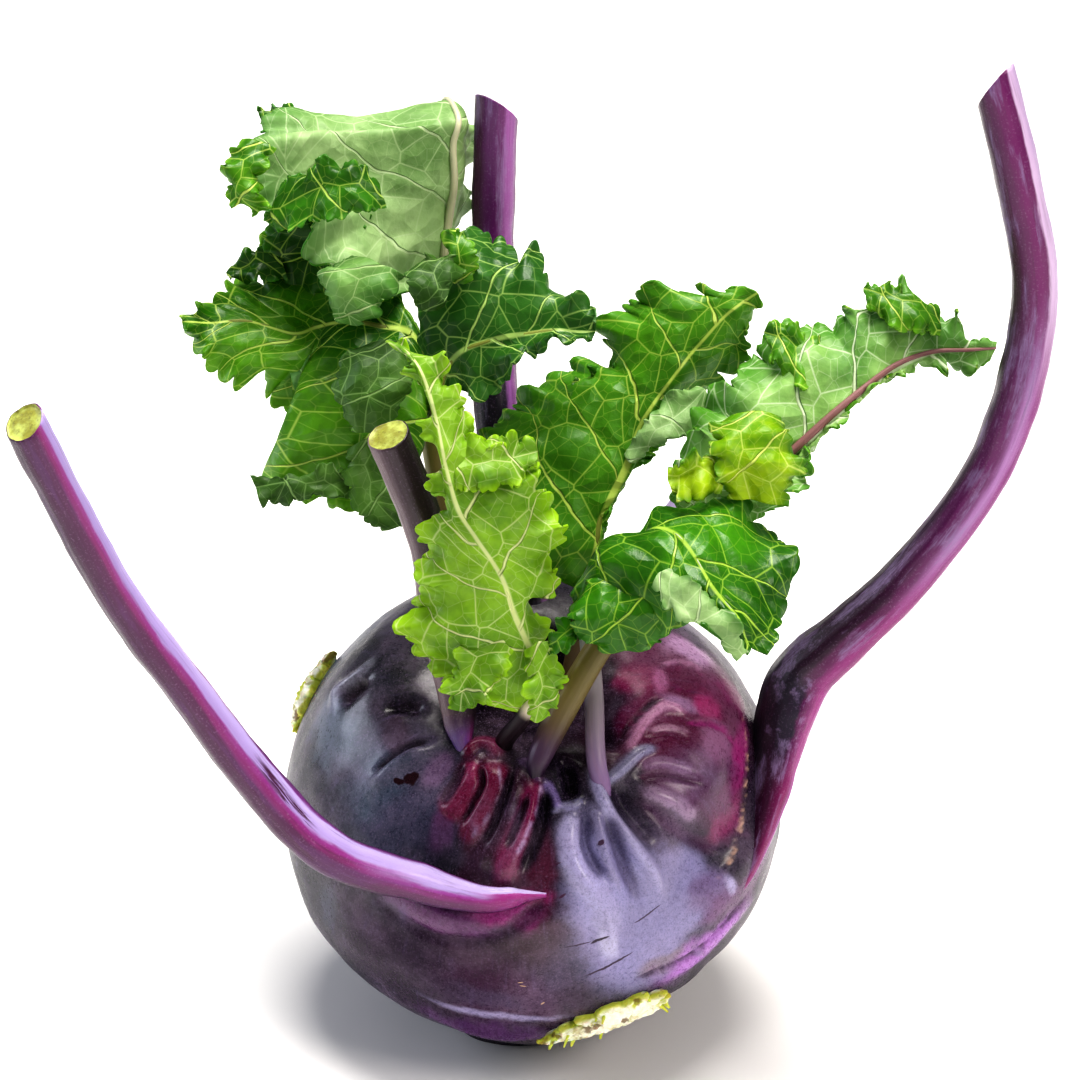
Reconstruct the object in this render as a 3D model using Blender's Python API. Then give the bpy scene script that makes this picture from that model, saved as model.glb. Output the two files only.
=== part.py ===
"""Purple kohlrabi with its cut stalks and young leaves, lying a little on its side.

The tables are in millimetres. +Z is up, -Y is the front, and the origin is
the middle of the small flat spot that the bulb rests on. A leaf or a stalk is
a loft whose control points were chosen by eye, so it is edited by moving them.
"""
import math

import bmesh
import bpy
from mathutils import Matrix, Vector

MM = 0.001
GAP = 0.3  # clearance between the bulb and whatever grows from it

# ------------------------------------------------------------- the bulb
# A squat globe whose crown leans towards the front.
BULB_CENTRE = Vector((0, 6, 38))
LEAN = math.radians(28)
BULB_RADIUS = 45.0
CROWN_HEIGHT = 39.0
UNDER_HEIGHT = 39.5
AROUND, DOWN = 56, 27  # faces round the bulb and from crown to root
# Swellings and hollows, in degrees from the crown and round it (0 right, -90 front):
# (down, round, spread down, spread round, height)
SWELLINGS = [
    (0, 0, 17, 17, -9.0),  # the hollow crown
    (45, 165, 16, 24, 2.6),  # the left, right and rear shoulders
    (47, 2, 14, 20, 3.2),
    (50, 92, 14, 24, 2.6),
    (80, -95, 26, 30, 1.2),  # the belly
    (51, 171, 5, 5, -2.4),  # two dimples on the left shoulder
    (36, 172, 6, 8, -2.0),
    (39, -147, 3.2, 15, -1.2),  # the crease below them
    (40, -43, 7, 4.5, -3.2),  # the hollow beside the right shoulder
    (62, -40, 12, 14, -1.2),
    (66, -112, 6, 20, 2.6),  # under the left and right stalks
    (73, -28, 7, 20, 2.0),
    (90, -66, 5, 12, 1.8),  # the lips round the torn stalks
    (127, -101, 6, 15, 3.6),
    (117, -41, 6, 14, 2.4),
    (118, -45, 18, 24, -3.5),  # the flatter sides of the underside
    (124, -122, 18, 26, -2.8),
    (103, -72, 9, 12, -2.2),
]
# Folds that run down from the crown, leaning to the left, and two grooves between them:
# (round at the top, turn, from, to, half width, height)
FOLDS = [
    (-109, -10, 24, 50, 4.4, 2.2),
    (-92, -12, 25, 54, 4.4, 2.2),
    (-74, 3, 34, 84, 4.0, 1.6),
    (-57, 5, 32, 62, 3.2, 1.2),
    (-100, -10, 27, 53, 2.6, -1.4),
    (-46, 10, 36, 64, 3.6, -1.6),
]

# ------------------------------------------------------------- the stalks
# Along each stalk: (centre, half width, half thickness). "broad" is the way it
# is broad, and the end is cut off at "cut", facing "facing".
STALKS = {
    "stalk_left": {
        "line": [
            ((5, -36.4, 43.0), 0.5, 0.4),
            ((0, -37.4, 43.5), 1.2, 0.9),
            ((-3.5, -37.9, 43.4), 2.0, 1.5),
            ((-9, -38.2, 43.5), 2.7, 2.1),
            ((-19, -38.4, 46.5), 3.5, 3.1),
            ((-34, -42, 54.5), 3.9, 3.8),
            ((-46, -43, 69), 3.9, 3.7),
            ((-57, -46, 88), 3.5, 3.4),
            ((-68, -51, 109), 3.4, 3.3),
            ((-80, -61, 144), 3.4, 3.3),
        ],
        "broad": (0.1, -0.2, 1.0),
        "cut": (-78.5, -60, 140),
        "facing": (-0.42, -0.52, 0.74),
        "colour": (0.24, 0.03, 0.17),
    },
    "stalk_right": {
        "line": [
            ((35, -21, 33), 0.9, 0.7),
            ((39, -16, 40), 3.0, 2.0),
            ((42, -9, 48), 5.0, 3.4),
            ((44, -3, 56), 7.2, 4.6),
            ((46, -1, 63), 7.2, 5.4),
            ((49, -1, 69), 6.0, 5.3),
            ((54, -3, 75), 5.2, 5.0),
            ((65, -5, 88), 4.4, 4.3),
            ((76, -8, 106), 4.2, 4.0),
            ((82, -10, 124), 4.2, 4.1),
            ((84, -11, 144), 4.1, 3.9),
            ((80, -13, 164), 4.0, 3.9),
            ((74, -14, 185), 3.9, 3.8),
        ],
        "broad": (0.2, -1.0, 0.1),
        "cut": (75.5, -13.5, 180.5),
        "facing": (-0.72, 0.0, 0.70),
        "colour": (0.16, 0.02, 0.12),
    },
    "stalk_rear": {
        "line": [
            ((3, 2, 62), 4.6, 4.2),
            ((-2, 14, 84), 4.2, 4.0),
            ((-6, 25, 104), 4.0, 3.9),
            ((-7, 32, 122), 3.9, 3.8),
            ((-7, 35, 139), 3.8, 3.7),
            ((-6, 35, 167), 3.8, 3.7),
        ],
        "broad": (1, 0, 0),
        "cut": (-5.5, 35, 161),
        "facing": (0.48, -0.1, 0.88),
        "colour": (0.08, 0.01, 0.08),
    },
    "stalk_short": {
        "line": [
            ((-11.2, -22, 61.5), 0.6, 0.5),
            ((-12, -20.5, 64.5), 1.7, 1.4),
            ((-12.5, -19, 67), 2.6, 2.3),
            ((-13, -17, 71), 3.1, 2.9),
            ((-16, -14, 86), 3.4, 3.3),
            ((-18, -14, 101), 3.5, 3.4),
            ((-25, -13, 121), 3.7, 3.6),
        ],
        "broad": (1, 0, 0),
        "cut": (-25, -14, 118),
        "facing": (-0.3, -0.3, 0.9),
        "colour": (0.09, 0.04, 0.07),
    },
    "stalk_right_rear": {
        "line": [
            ((15, 4, 60), 4.6, 3.8),
            ((16, 7, 66), 4.1, 3.7),
            ((21, 18, 76), 3.8, 3.7),
            ((27, 26, 86), 3.6, 3.6),
            ((41, 33, 100), 3.2, 3.2),
        ],
        "broad": (0, 0, 1),
        "cut": (40, 32.5, 99),
        "facing": (0.6, 0.25, 0.75),
        "colour": (0.16, 0.10, 0.20),
    },
}
STALK_SIDES, STALK_RINGS = 14, 18
GROOVE = 0.10  # how far the stalk's groove sinks, as a share of its thickness

# ------------------------------------------------------------- the leaves
# "stem" runs from the bulb to the blade, with its radius. "rib", "left" and
# "right" have one point for each station of the blade, from stem to tip, the
# sides being named as seen from above the leaf, and "fullness" says how far
# each half bulges upwards, as a share of its width.
LEAVES = {
    "leaf_back": {
        "stem": [((-4, 6, 58), 2.4), ((-5, 12, 68), 2.2), ((-11, 23, 87), 2.1),
                 ((-15, 31, 109), 2.0), ((-16, 34, 125), 1.8)],
        "rib": [(-16, 34, 129), (-16, 34, 135), (-15, 34, 142), (-14, 33, 148), (-14, 33, 155),
                (-13, 34, 159), (-15, 42, 160), (-17, 51, 155), (-21, 53, 149), (-27, 53, 144)],
        "left": [(-15, 34, 130), (-13, 39, 134), (-12, 42, 141), (-11, 44, 146), (-10, 46, 150),
                 (-11, 46, 152), (-12, 52, 151), (-14, 56, 149), (-17, 57, 147), (-25, 54, 143)],
        "right": [(-17, 30, 130), (-34, 12, 132), (-37, 15, 140), (-46, 19, 147), (-52, 23, 155),
                  (-50, 29, 158), (-44, 42, 158), (-42, 50, 151), (-37, 51, 145), (-29, 53, 144)],
        "fullness": (0.0, 0.07),
        "edge": (26, 9, 0.16, 6, 1.4),
        "colour": (0.14, 0.27, 0.07),
    },
    "leaf_left": {
        "stem": [((-9, -2, 60), 2.5), ((-9, 2, 69), 2.2), ((-13, 8, 84), 2.1),
                 ((-17, 14, 102), 2.0), ((-18, 16, 114), 1.8)],
        "rib": [(-17, 17, 117), (-21, 19, 124), (-26, 21, 125), (-32, 21, 126), (-38, 21, 125),
                (-42, 18, 125), (-50, 19, 127), (-56, 18, 127), (-61, 16, 128)],
        "left": [(-17, 17, 116), (-23, 3, 96), (-33, 6, 96), (-48, 11, 100), (-42, 16, 109),
                 (-51, 15, 113), (-56, 15, 118), (-60, 16, 123), (-61, 15, 127)],
        "right": [(-18, 18, 118), (-22, 25, 129), (-29, 34, 138), (-38, 38, 142), (-46, 36, 139),
                  (-52, 29, 134), (-56, 23, 131), (-60, 19, 130), (-61, 16, 129)],
        "fullness": (0.18, 0.0),
        "edge": (26, 8, 0.16, 6, 1.6),
        "colour": (0.04, 0.13, 0.02),
    },
    "leaf_middle": {
        "stem": [((-2, -9, 59), 2.4), ((-3, -7, 68), 2.2), ((-8, -3, 84), 2.1),
                 ((-13, 4, 103), 1.9), ((-16, 9, 114), 1.8)],
        "rib": [(-16, 10, 119), (-14, 10, 123), (-11, 9, 126), (-5, 9, 128), (-1, 8, 129),
                (4, 7, 130), (8, 6, 130), (11, 6, 130)],
        "left": [(-17, 10, 119), (-20, 14, 127), (-16, 18, 138), (-9, 22, 143), (0, 21, 140),
                 (5, 13, 136), (10, 9, 135), (11, 6, 132)],
        "right": [(-15, 10, 118), (-12, 8, 117), (-8, 6, 117), (-3, 4, 123), (0, 3, 127),
                  (5, 3, 129), (9, 3, 129), (10, 4, 129)],
        "fullness": (0.18, 0.0),
        "edge": (24, 7, 0.12, 5, 1.3),
        "colour": (0.05, 0.15, 0.03),
    },
    "leaf_front": {
        "stem": [((-5.5, -19.5, 60), 1.7), ((-4.5, -21, 65), 1.6), ((-2, -24, 70), 1.5),
                 ((0, -26, 74), 1.4)],
        "rib": [(2, -25, 77), (0, -27, 84), (-3, -28, 92), (-5, -28, 99), (-9, -28, 106),
                (-12, -27, 111), (-14, -26, 118), (-16, -23, 127), (-19, -19, 134),
                (-23, -13, 135)],
        "left": [(-1, -25, 72), (-13, -27, 77), (-22, -25, 86), (-20, -23, 95), (-19, -23, 104),
                 (-16, -24, 111), (-16, -23, 118), (-18, -21, 128), (-21, -17, 134),
                 (-24, -13, 135)],
        "right": [(3, -20, 77), (3, -22, 84), (2, -22, 92), (5, -23, 101), (5, -21, 109),
                  (2, -20, 117), (-7, -21, 121), (-12, -19, 129), (-15, -17, 133),
                  (-22, -13, 135)],
        "fullness": (0.13, 0.05),
        "edge": (28, 10, 0.20, 8, 1.5),
        "colour": (0.18, 0.42, 0.03),
    },
    "leaf_centre": {
        "stem": [((6, -8, 56), 2.2), ((6, -6, 64), 2.0), ((8, -5, 75), 1.9), ((9, -5, 84), 1.8)],
        "rib": [(9, -5, 87), (11, -4, 94), (12, -2, 99), (16, 1, 107), (19, 4, 114),
                (24, 6, 121), (29, 8, 127), (34, 10, 132), (39, 12, 135)],
        "left": [(8, -4, 86), (-1, -3, 91), (-8, 4, 98), (-7, 14, 111), (1, 17, 116),
                 (11, 19, 122), (15, 19, 131), (24, 16, 134), (37, 12, 136)],
        "right": [(10, -4, 87), (12, -4, 94), (15, -1, 101), (19, 3, 107), (27, 9, 110),
                  (31, 12, 115), (39, 12, 121), (37, 12, 126), (40, 12, 133)],
        "fullness": (0.15, 0.0),
        "edge": (26, 8, 0.15, 6, 1.3),
        "colour": (0.10, 0.24, 0.03),
    },
    "leaf_right": {
        "stem": [((1, -26.4, 58.5), 0.9), ((0.8, -26, 61.4), 1.6), ((1.6, -24.9, 64.2), 2.4),
                 ((4.8, -21.8, 70), 2.9), ((12, -20, 83), 2.7), ((20, -17, 92), 2.4), ((28, -14, 98), 2.0)],
        "rib": [(29, -14, 100), (35, -10, 106), (41, -8, 110), (47, -6, 115), (52, -4, 119),
                (58, -1, 123), (63, 1, 126), (69, 4, 127), (75, 5, 127), (80, 6, 127)],
        "left": [(30, -14, 99), (43, -14, 106), (48, -11, 110), (48, -8, 113), (54, -4, 118),
                 (59, -2, 122), (64, 1, 124), (70, 4, 124), (75, 4, 122), (79, 5, 125)],
        "right": [(28, -14, 100), (23, -13, 109), (27, -5, 117), (31, 2, 122), (42, 9, 129),
                  (53, 10, 131), (58, 13, 136), (68, 11, 134), (75, 7, 130), (80, 6, 128)],
        "fullness": (-0.06, -0.17),
        "edge": (28, 10, 0.20, 8, 1.8),
        "colour": (0.16, 0.34, 0.06),
    },
    "leaf_low_right": {
        "stem": [((12.8, -26.6, 56.2), 0.9), ((12.2, -26.7, 59.2), 1.4), ((11.3, -25.6, 62.3), 1.7),
                 ((10.9, -23, 66), 1.7), ((10.8, -19.2, 70.5), 1.7), ((10.4, -14.8, 76), 1.7),
                 ((10, -13, 86), 1.7), ((14, -16, 97), 1.6)],
        "rib": [(17, -17, 100), (20, -22, 105), (24, -26, 106), (27, -30, 104), (30, -34, 100),
                (34, -37, 96), (36, -38, 91)],
        "left": [(18, -16, 101), (22, -16, 106), (30, -15, 108), (39, -16, 106), (44, -23, 100),
                 (43, -31, 93), (39, -37, 89)],
        "right": [(16, -17, 99), (8, -20, 95), (8, -24, 89), (18, -29, 87), (27, -35, 94),
                  (32, -38, 92), (36, -39, 90)],
        "fullness": (0.0, 0.20),
        "edge": (22, 6, 0.10, 4, 1.1),
        "colour": (0.05, 0.18, 0.02),
    },
}
# "edge" is (rows along the blade, teeth, depth of a tooth, ruffles, height of a ruffle)
BLADE = 0.8  # thickness of a blade
RIB_TAPER = 0.75  # how much thinner the rib is at the tip
COLUMNS = (0.36, 0.70, 1.0)  # where the blade's faces meet, from the rib out

# ------------------------------------------------------------- torn and cut ends
# (down and round on the bulb, length, height and thickness, turn, points round the edge)
SCARS = {
    "leaf_scar_front": (90, -75, 10.5, 2.9, 2.2, -0.12, 11),
    "leaf_scar_left": (77, 157, 7.0, 3.2, 2.6, 1.20, 9),
}
ROOT_RADIUS, ROOT_TIP_RADIUS, ROOT_LENGTH, ROOT_DEPTH = 7.5, 6.8, 9.0, 38.0
ROOT_CLEAR = 0.8  # the cut root stays this far above what the bulb rests on

SKIN_COLOUR = (0.06, 0.03, 0.09)
FLESH_COLOUR = (0.62, 0.60, 0.24)
ROOT_COLOUR = (0.42, 0.34, 0.20)


# ------------------------------------------------------------- helpers
def through(points, t):
    """The point at t (0 to 1) on a smooth line through the points."""
    last = len(points) - 1
    x = min(max(t, 0.0), 1.0) * last
    i = min(int(x), last - 1)
    f = x - i
    b, c = Vector(points[i]), Vector(points[i + 1])
    a = Vector(points[i - 1]) if i else 2 * b - c
    d = Vector(points[i + 2]) if i + 2 <= last else 2 * c - b
    bend, twist = 2 * a - 5 * b + 4 * c - d, 3 * b - a - 3 * c + d
    return 0.5 * (2 * b + (c - a) * f + bend * f**2 + twist * f**3)


def heading(points, t):
    """The way the line runs at t."""
    step = 0.01
    return (through(points, min(t + step, 1)) - through(points, max(t - step, 0))).normalized()


def soft(value, low, high):
    """0 below low, 1 above high, and smooth between them."""
    x = min(max((value - low) / (high - low), 0.0), 1.0)
    return x * x * (3 - 2 * x)


def material(name, colour, roughness):
    made = bpy.data.materials.new(name)
    made.use_nodes = True
    shader = made.node_tree.nodes["Principled BSDF"]
    shader.inputs["Base Color"].default_value = (*colour, 1.0)
    shader.inputs["Roughness"].default_value = roughness
    shader.inputs["Metallic"].default_value = 0.0
    return made


def cut_off(shape, where, facing):
    """Cut everything beyond a plane off a bmesh, and close it with one flat face."""
    everything = shape.verts[:] + shape.edges[:] + shape.faces[:]
    cut = bmesh.ops.bisect_plane(shape, geom=everything, plane_co=where, plane_no=facing, clear_outer=True)
    rim = [item for item in cut["geom_cut"] if isinstance(item, bmesh.types.BMEdge)]
    bmesh.ops.contextual_create(shape, geom=rim)


def add_object(name, shape, collection, finish=None):
    """Turn a bmesh in millimetres into an object in metres."""
    bmesh.ops.remove_doubles(shape, verts=shape.verts, dist=0.02)
    bmesh.ops.dissolve_degenerate(shape, edges=shape.edges, dist=0.01)
    bmesh.ops.recalc_face_normals(shape, faces=shape.faces)
    bmesh.ops.scale(shape, vec=(MM, MM, MM), verts=shape.verts)
    mesh = bpy.data.meshes.new(name)
    shape.to_mesh(mesh)
    shape.free()
    mesh.shade_smooth()
    mesh.set_sharp_from_angle(angle=math.radians(40))
    made = bpy.data.objects.new(name, mesh)
    collection.objects.link(made)
    if finish:
        mesh.materials.append(finish)
    return made


def clear_of(made, cutter):
    """Cut the bulb's room out of a piece, then weld and triangulate what is left."""
    step = made.modifiers.new("clear of the bulb", "BOOLEAN")
    step.operation = "DIFFERENCE"
    step.solver = "EXACT"
    step.object = cutter
    weld = made.modifiers.new("weld", "WELD")
    weld.merge_threshold = 0.00003
    made.modifiers.new("triangles", "TRIANGULATE")


# ------------------------------------------------------------- the bulb
def bulb_radius(down, round_):
    """Distance from the bulb's centre to its skin, the angles in degrees."""
    s, c = math.sin(math.radians(down)), math.cos(math.radians(down))
    height = CROWN_HEIGHT if c > 0 else UNDER_HEIGHT
    radius = 1.0 / math.hypot(s / BULB_RADIUS, c / height)
    arc = math.sin(math.radians(max(down, 12)))
    for at, turn, spread, spread_round, rise in SWELLINGS:
        across = ((round_ - turn + 180) % 360 - 180) * arc if at else 0
        radius += rise * math.exp(-(((down - at) / spread) ** 2) - (across / spread_round) ** 2)
    for turn, lean, start, end, width, rise in FOLDS:
        middle = turn + lean * (down - start) / (end - start)
        across = ((round_ - middle + 180) % 360 - 180) * arc
        along = soft(down, start - 5, start + 4) * (1 - soft(down, end - 6, end + 6))
        radius += rise * along * math.exp(-((across / width) ** 2))
    return radius


def bulb_point(down, round_, extra=0.0):
    a, b = math.radians(down), math.radians(round_)
    ray = Vector((math.sin(a) * math.cos(b), math.sin(a) * math.sin(b), math.cos(a)))
    return BULB_CENTRE + Matrix.Rotation(LEAN, 3, "X") @ ray * (bulb_radius(down, round_) + extra)


def bulb_shape(extra=0.0):
    shape = bmesh.new()
    bmesh.ops.create_uvsphere(shape, u_segments=AROUND, v_segments=DOWN, radius=1.0)
    for vert in shape.verts:
        down = math.degrees(math.acos(max(-1.0, min(1.0, vert.co.z))))
        round_ = math.degrees(math.atan2(vert.co.y, vert.co.x))
        vert.co = bulb_point(down, round_, extra)
    return shape


# ------------------------------------------------------------- the stalks
def stalk_shape(line, broad, cut, facing):
    """A stalk lofted along its line, with a groove on its upper side."""
    shape = bmesh.new()
    bmesh.ops.create_grid(shape, x_segments=STALK_SIDES, y_segments=STALK_RINGS, size=0.5)
    centres = [row[0] for row in line]
    sizes = [(row[1], row[2], 0) for row in line]
    for vert in shape.verts:
        turn, t = (vert.co.x + 0.5) * math.tau, vert.co.y + 0.5
        ahead = heading(centres, t)
        thick = ahead.cross(Vector(broad)).normalized()
        wide = thick.cross(ahead).normalized()
        half = through(sizes, t)
        groove = 1 - GROOVE * math.exp(-(((turn - math.pi / 2) / 0.5) ** 2))
        out = wide * half[0] * math.cos(turn) + thick * half[1] * groove * math.sin(turn)
        vert.co = through(centres, t) + out
    bmesh.ops.remove_doubles(shape, verts=shape.verts, dist=0.02)
    bmesh.ops.holes_fill(shape, edges=shape.edges, sides=0)
    cut_off(shape, cut, facing)
    return shape


# ------------------------------------------------------------- the leaves
def blade_point(leaf, t, s):
    """The point of a blade, t along the rib and s across it (-1 left edge, 1 right edge)."""
    left, rib, right = (through(leaf[line], t) for line in ("left", "rib", "right"))
    front = (right - left).cross(heading(leaf["rib"], t)).normalized()
    full_left, full_right = leaf["fullness"]
    left_middle = (left + rib) / 2 + front * full_left * (left - rib).length
    right_middle = (right + rib) / 2 + front * full_right * (right - rib).length
    return through([left, left_middle, rib, right_middle, right], (s + 1) / 2)


def blade_grid(leaf, seed):
    """The blade's middle sheet, as rows of (point, normal), and the rib's radius in each row."""
    rows, teeth, tooth, ruffles, ruffle = leaf["edge"]
    half = len(COLUMNS) + 1
    wide = 2 * half + 1
    sheet = bmesh.new()
    bmesh.ops.create_grid(sheet, x_segments=wide - 1, y_segments=rows - 1, size=0.5)
    order = sorted(sheet.verts, key=lambda vert: (round(vert.co.y, 4), round(vert.co.x, 4)))
    grid = [order[i * wide:(i + 1) * wide] for i in range(rows)]
    ribs = [leaf["stem"][-1][1] * (1 - RIB_TAPER * i / (rows - 1)) for i in range(rows)]
    for i, line in enumerate(grid):
        t = i / (rows - 1)
        middle = blade_point(leaf, t, 0)
        line[half].co = middle
        for side in (-1, 1):
            width = max((blade_point(leaf, t, side) - middle).length, 0.5)
            wave = 0.5 + 0.5 * math.sin(math.tau * teeth * t + seed + side)
            bite = tooth * wave * soft(t, 0.02, 0.12) * (1 - soft(t, 0.93, 1.0))
            shares = (min(1.1 * ribs[i] / width, 0.30), *COLUMNS[:-1], 1 - bite)
            for k, share in enumerate(shares):
                line[half + side * (k + 1)].co = blade_point(leaf, t, side * share)
    sheet.normal_update()
    lifts = []
    for i, line in enumerate(grid):
        t = i / (rows - 1)
        fade = soft(t, 0.03, 0.2) * (1 - 0.5 * soft(t, 0.85, 1.0))
        for side in (-1, 1):
            wave = ruffle * fade * math.sin(math.tau * ruffles * t + seed * 1.7 + 2 * side)
            for k, share in enumerate(COLUMNS):
                vert = line[half + side * (k + 2)]
                lifts.append((vert, vert.normal * wave * share**2))
    for vert, lift in lifts:
        vert.co += lift
    sheet.normal_update()
    points = [[(vert.co.copy(), vert.normal.copy()) for vert in line] for line in grid]
    sheet.free()
    return points, ribs


def stem_rings(leaf, side, front, count):
    """Round rings along the stem, started so that they meet the blade's rings without a twist."""
    centres = [row[0] for row in leaf["stem"]]
    radii = [(row[1], 0, 0) for row in leaf["stem"]]
    steps = len(centres) + 1
    rings = []
    for i in range(steps):
        t = i / steps
        ahead = heading(centres, t)
        across = (side - ahead * side.dot(ahead)).normalized()
        up = across.cross(ahead).normalized()
        if up.dot(front) < 0:
            up = -up
        middle, radius = through(centres, t), through(radii, t)[0]
        turns = [math.pi * (1 - (2 * k + 1) / count) for k in range(count)]
        rings.append([middle + (across * math.cos(a) + up * math.sin(a)) * radius for a in turns])
    return rings


def leaf_shape(name, leaf):
    """Stem, rib and blade in one closed skin: a loft from round rings to thin ones."""
    points, ribs = blade_grid(leaf, sum(ord(letter) for letter in name))
    half = len(points[0]) // 2
    side = (points[1][-1][0] - points[1][0][0]).normalized()
    rings = stem_rings(leaf, side, points[0][half][1], 2 * len(points[0]))
    for line, rib in zip(points, ribs):
        over = [BLADE / 2] * len(line)
        under = [BLADE / 2] * len(line)
        over[half] = max(0.35 * rib, BLADE / 2)
        under[half] = max(rib, BLADE / 2)
        top = [point + normal * lift for (point, normal), lift in zip(line, over)]
        bottom = [point - normal * lift for (point, normal), lift in zip(line, under)]
        rings.append(top + bottom[::-1])
    shape = bmesh.new()
    made = [[shape.verts.new(point) for point in ring] for ring in rings]
    count = len(rings[0])
    for a, b in zip(made, made[1:]):
        for k in range(count):
            n = (k + 1) % count
            if k < count // 2:  # both sides of the blade are split along the same diagonal
                shape.faces.new((a[k], a[n], b[n]))
                shape.faces.new((a[k], b[n], b[k]))
            else:
                shape.faces.new((a[k], a[n], b[k]))
                shape.faces.new((a[n], b[n], b[k]))
    shape.faces.new(made[0])
    shape.faces.new(made[-1])
    return shape


# ------------------------------------------------------------- torn and cut ends
def scar_shape(down, round_, length, height, thickness, turn, points):
    """A ragged patch of torn fibres, half sunk in the bulb."""
    shape = bmesh.new()
    bmesh.ops.create_uvsphere(shape, u_segments=20, v_segments=9, radius=1.0)
    middle = bulb_point(down, round_)
    outward = (middle - BULB_CENTRE).normalized()
    level = outward.cross(Vector((0, 0, 1))).normalized()
    along = Matrix.Rotation(-turn, 3, outward) @ level
    over = outward.cross(along).normalized()
    for vert in shape.verts:
        x, y, z = vert.co
        rim = math.hypot(x, y)
        angle = math.atan2(y, x)
        ragged = 1 + rim * (0.16 * math.sin(angle * points) + 0.08 * math.sin(angle * 3 + 1))
        rough = 0.35 * math.sin(x * 9 + y * 5) * math.cos(y * 11) * (1 - rim)
        spread = (along * x * length + over * y * height) * ragged
        vert.co = middle + spread + outward * (z * thickness + rough)
    return shape


def root_shape():
    """The cut woody base of the stem, under the bulb at the back."""
    shape = bmesh.new()
    bmesh.ops.create_cone(
        shape, cap_ends=True, segments=20, radius1=ROOT_RADIUS, radius2=ROOT_TIP_RADIUS, depth=ROOT_LENGTH)
    away = Matrix.Rotation(LEAN + math.pi, 4, "X") @ Matrix.Translation((0, 0, ROOT_DEPTH))
    bmesh.ops.transform(shape, matrix=Matrix.Translation(BULB_CENTRE) @ away, verts=shape.verts)
    cut_off(shape, (0, 0, ROOT_CLEAR), (0, 0, -1))
    return shape


# ------------------------------------------------------------- build
def build():
    for leftover in list(bpy.data.objects):
        bpy.data.objects.remove(leftover, do_unlink=True)
    parts = bpy.data.collections.new("kohlrabi")
    cutters = bpy.data.collections.new("cutters")
    for collection in (parts, cutters):
        bpy.context.scene.collection.children.link(collection)
    centre = bpy.data.objects.new("kohlrabi", None)
    parts.objects.link(centre)

    bulb = bulb_shape()
    cut_off(bulb, (0, 0, 0), (0, 0, -1))
    add_object("bulb", bulb, parts, material("purple skin", SKIN_COLOUR, 0.38)).parent = centre
    room = add_object("room for the bulb", bulb_shape(GAP), cutters)
    room.hide_render = True
    room.display_type = "WIRE"

    grown = []
    for name, stalk in STALKS.items():
        shape = stalk_shape(stalk["line"], stalk["broad"], stalk["cut"], stalk["facing"])
        grown.append(add_object(name, shape, parts, material(name, stalk["colour"], 0.40)))
    for name, leaf in LEAVES.items():
        grown.append(add_object(name, leaf_shape(name, leaf), parts, material(name, leaf["colour"], 0.55)))
    flesh = material("torn flesh", FLESH_COLOUR, 0.70)
    for name, scar in SCARS.items():
        grown.append(add_object(name, scar_shape(*scar), parts, flesh))
    grown.append(add_object("root_stub", root_shape(), parts, material("woody root", ROOT_COLOUR, 0.80)))
    for made in grown:
        clear_of(made, room)
        made.parent = centre


build()
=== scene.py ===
"""The looks of the kohlrabi: its waxy skin, stalks, veined leaves and torn ends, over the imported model."""
import math
import random
from functools import partial

import bmesh
import bpy
import numpy as np
from mathutils import Matrix, Vector, noise


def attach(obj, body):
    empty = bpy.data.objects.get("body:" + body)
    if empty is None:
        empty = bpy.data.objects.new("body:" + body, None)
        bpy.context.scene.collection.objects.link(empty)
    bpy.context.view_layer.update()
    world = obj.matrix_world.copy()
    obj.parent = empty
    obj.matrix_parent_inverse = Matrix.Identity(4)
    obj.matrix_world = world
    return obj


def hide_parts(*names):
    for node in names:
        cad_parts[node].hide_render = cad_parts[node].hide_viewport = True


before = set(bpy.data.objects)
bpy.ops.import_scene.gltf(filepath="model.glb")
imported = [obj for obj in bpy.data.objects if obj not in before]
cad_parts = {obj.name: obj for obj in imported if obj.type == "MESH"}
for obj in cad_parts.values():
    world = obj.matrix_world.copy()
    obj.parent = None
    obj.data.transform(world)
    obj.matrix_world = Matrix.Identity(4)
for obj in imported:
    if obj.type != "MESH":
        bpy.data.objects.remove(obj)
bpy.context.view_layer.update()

MM = 0.001

# ------------------------------------------------------------- the bulb's shape, in millimetres
BULB_CENTRE = np.array((0.0, 6.0, 38.0))
LEAN = math.radians(28)
BULB_RADIUS = 45.0
CROWN_HEIGHT = 39.0
UNDER_HEIGHT = 39.5
AROUND, DOWN = 380, 250  # faces round the bulb and from crown to root
POLE = 12.0  # within so many degrees of the crown, a degree round the bulb counts as much as here
ALL_ROUND = 1e9  # the spread of a form that is the same all round
FOLD_STEPS = 14  # straight bits that a fold is measured along
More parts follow.
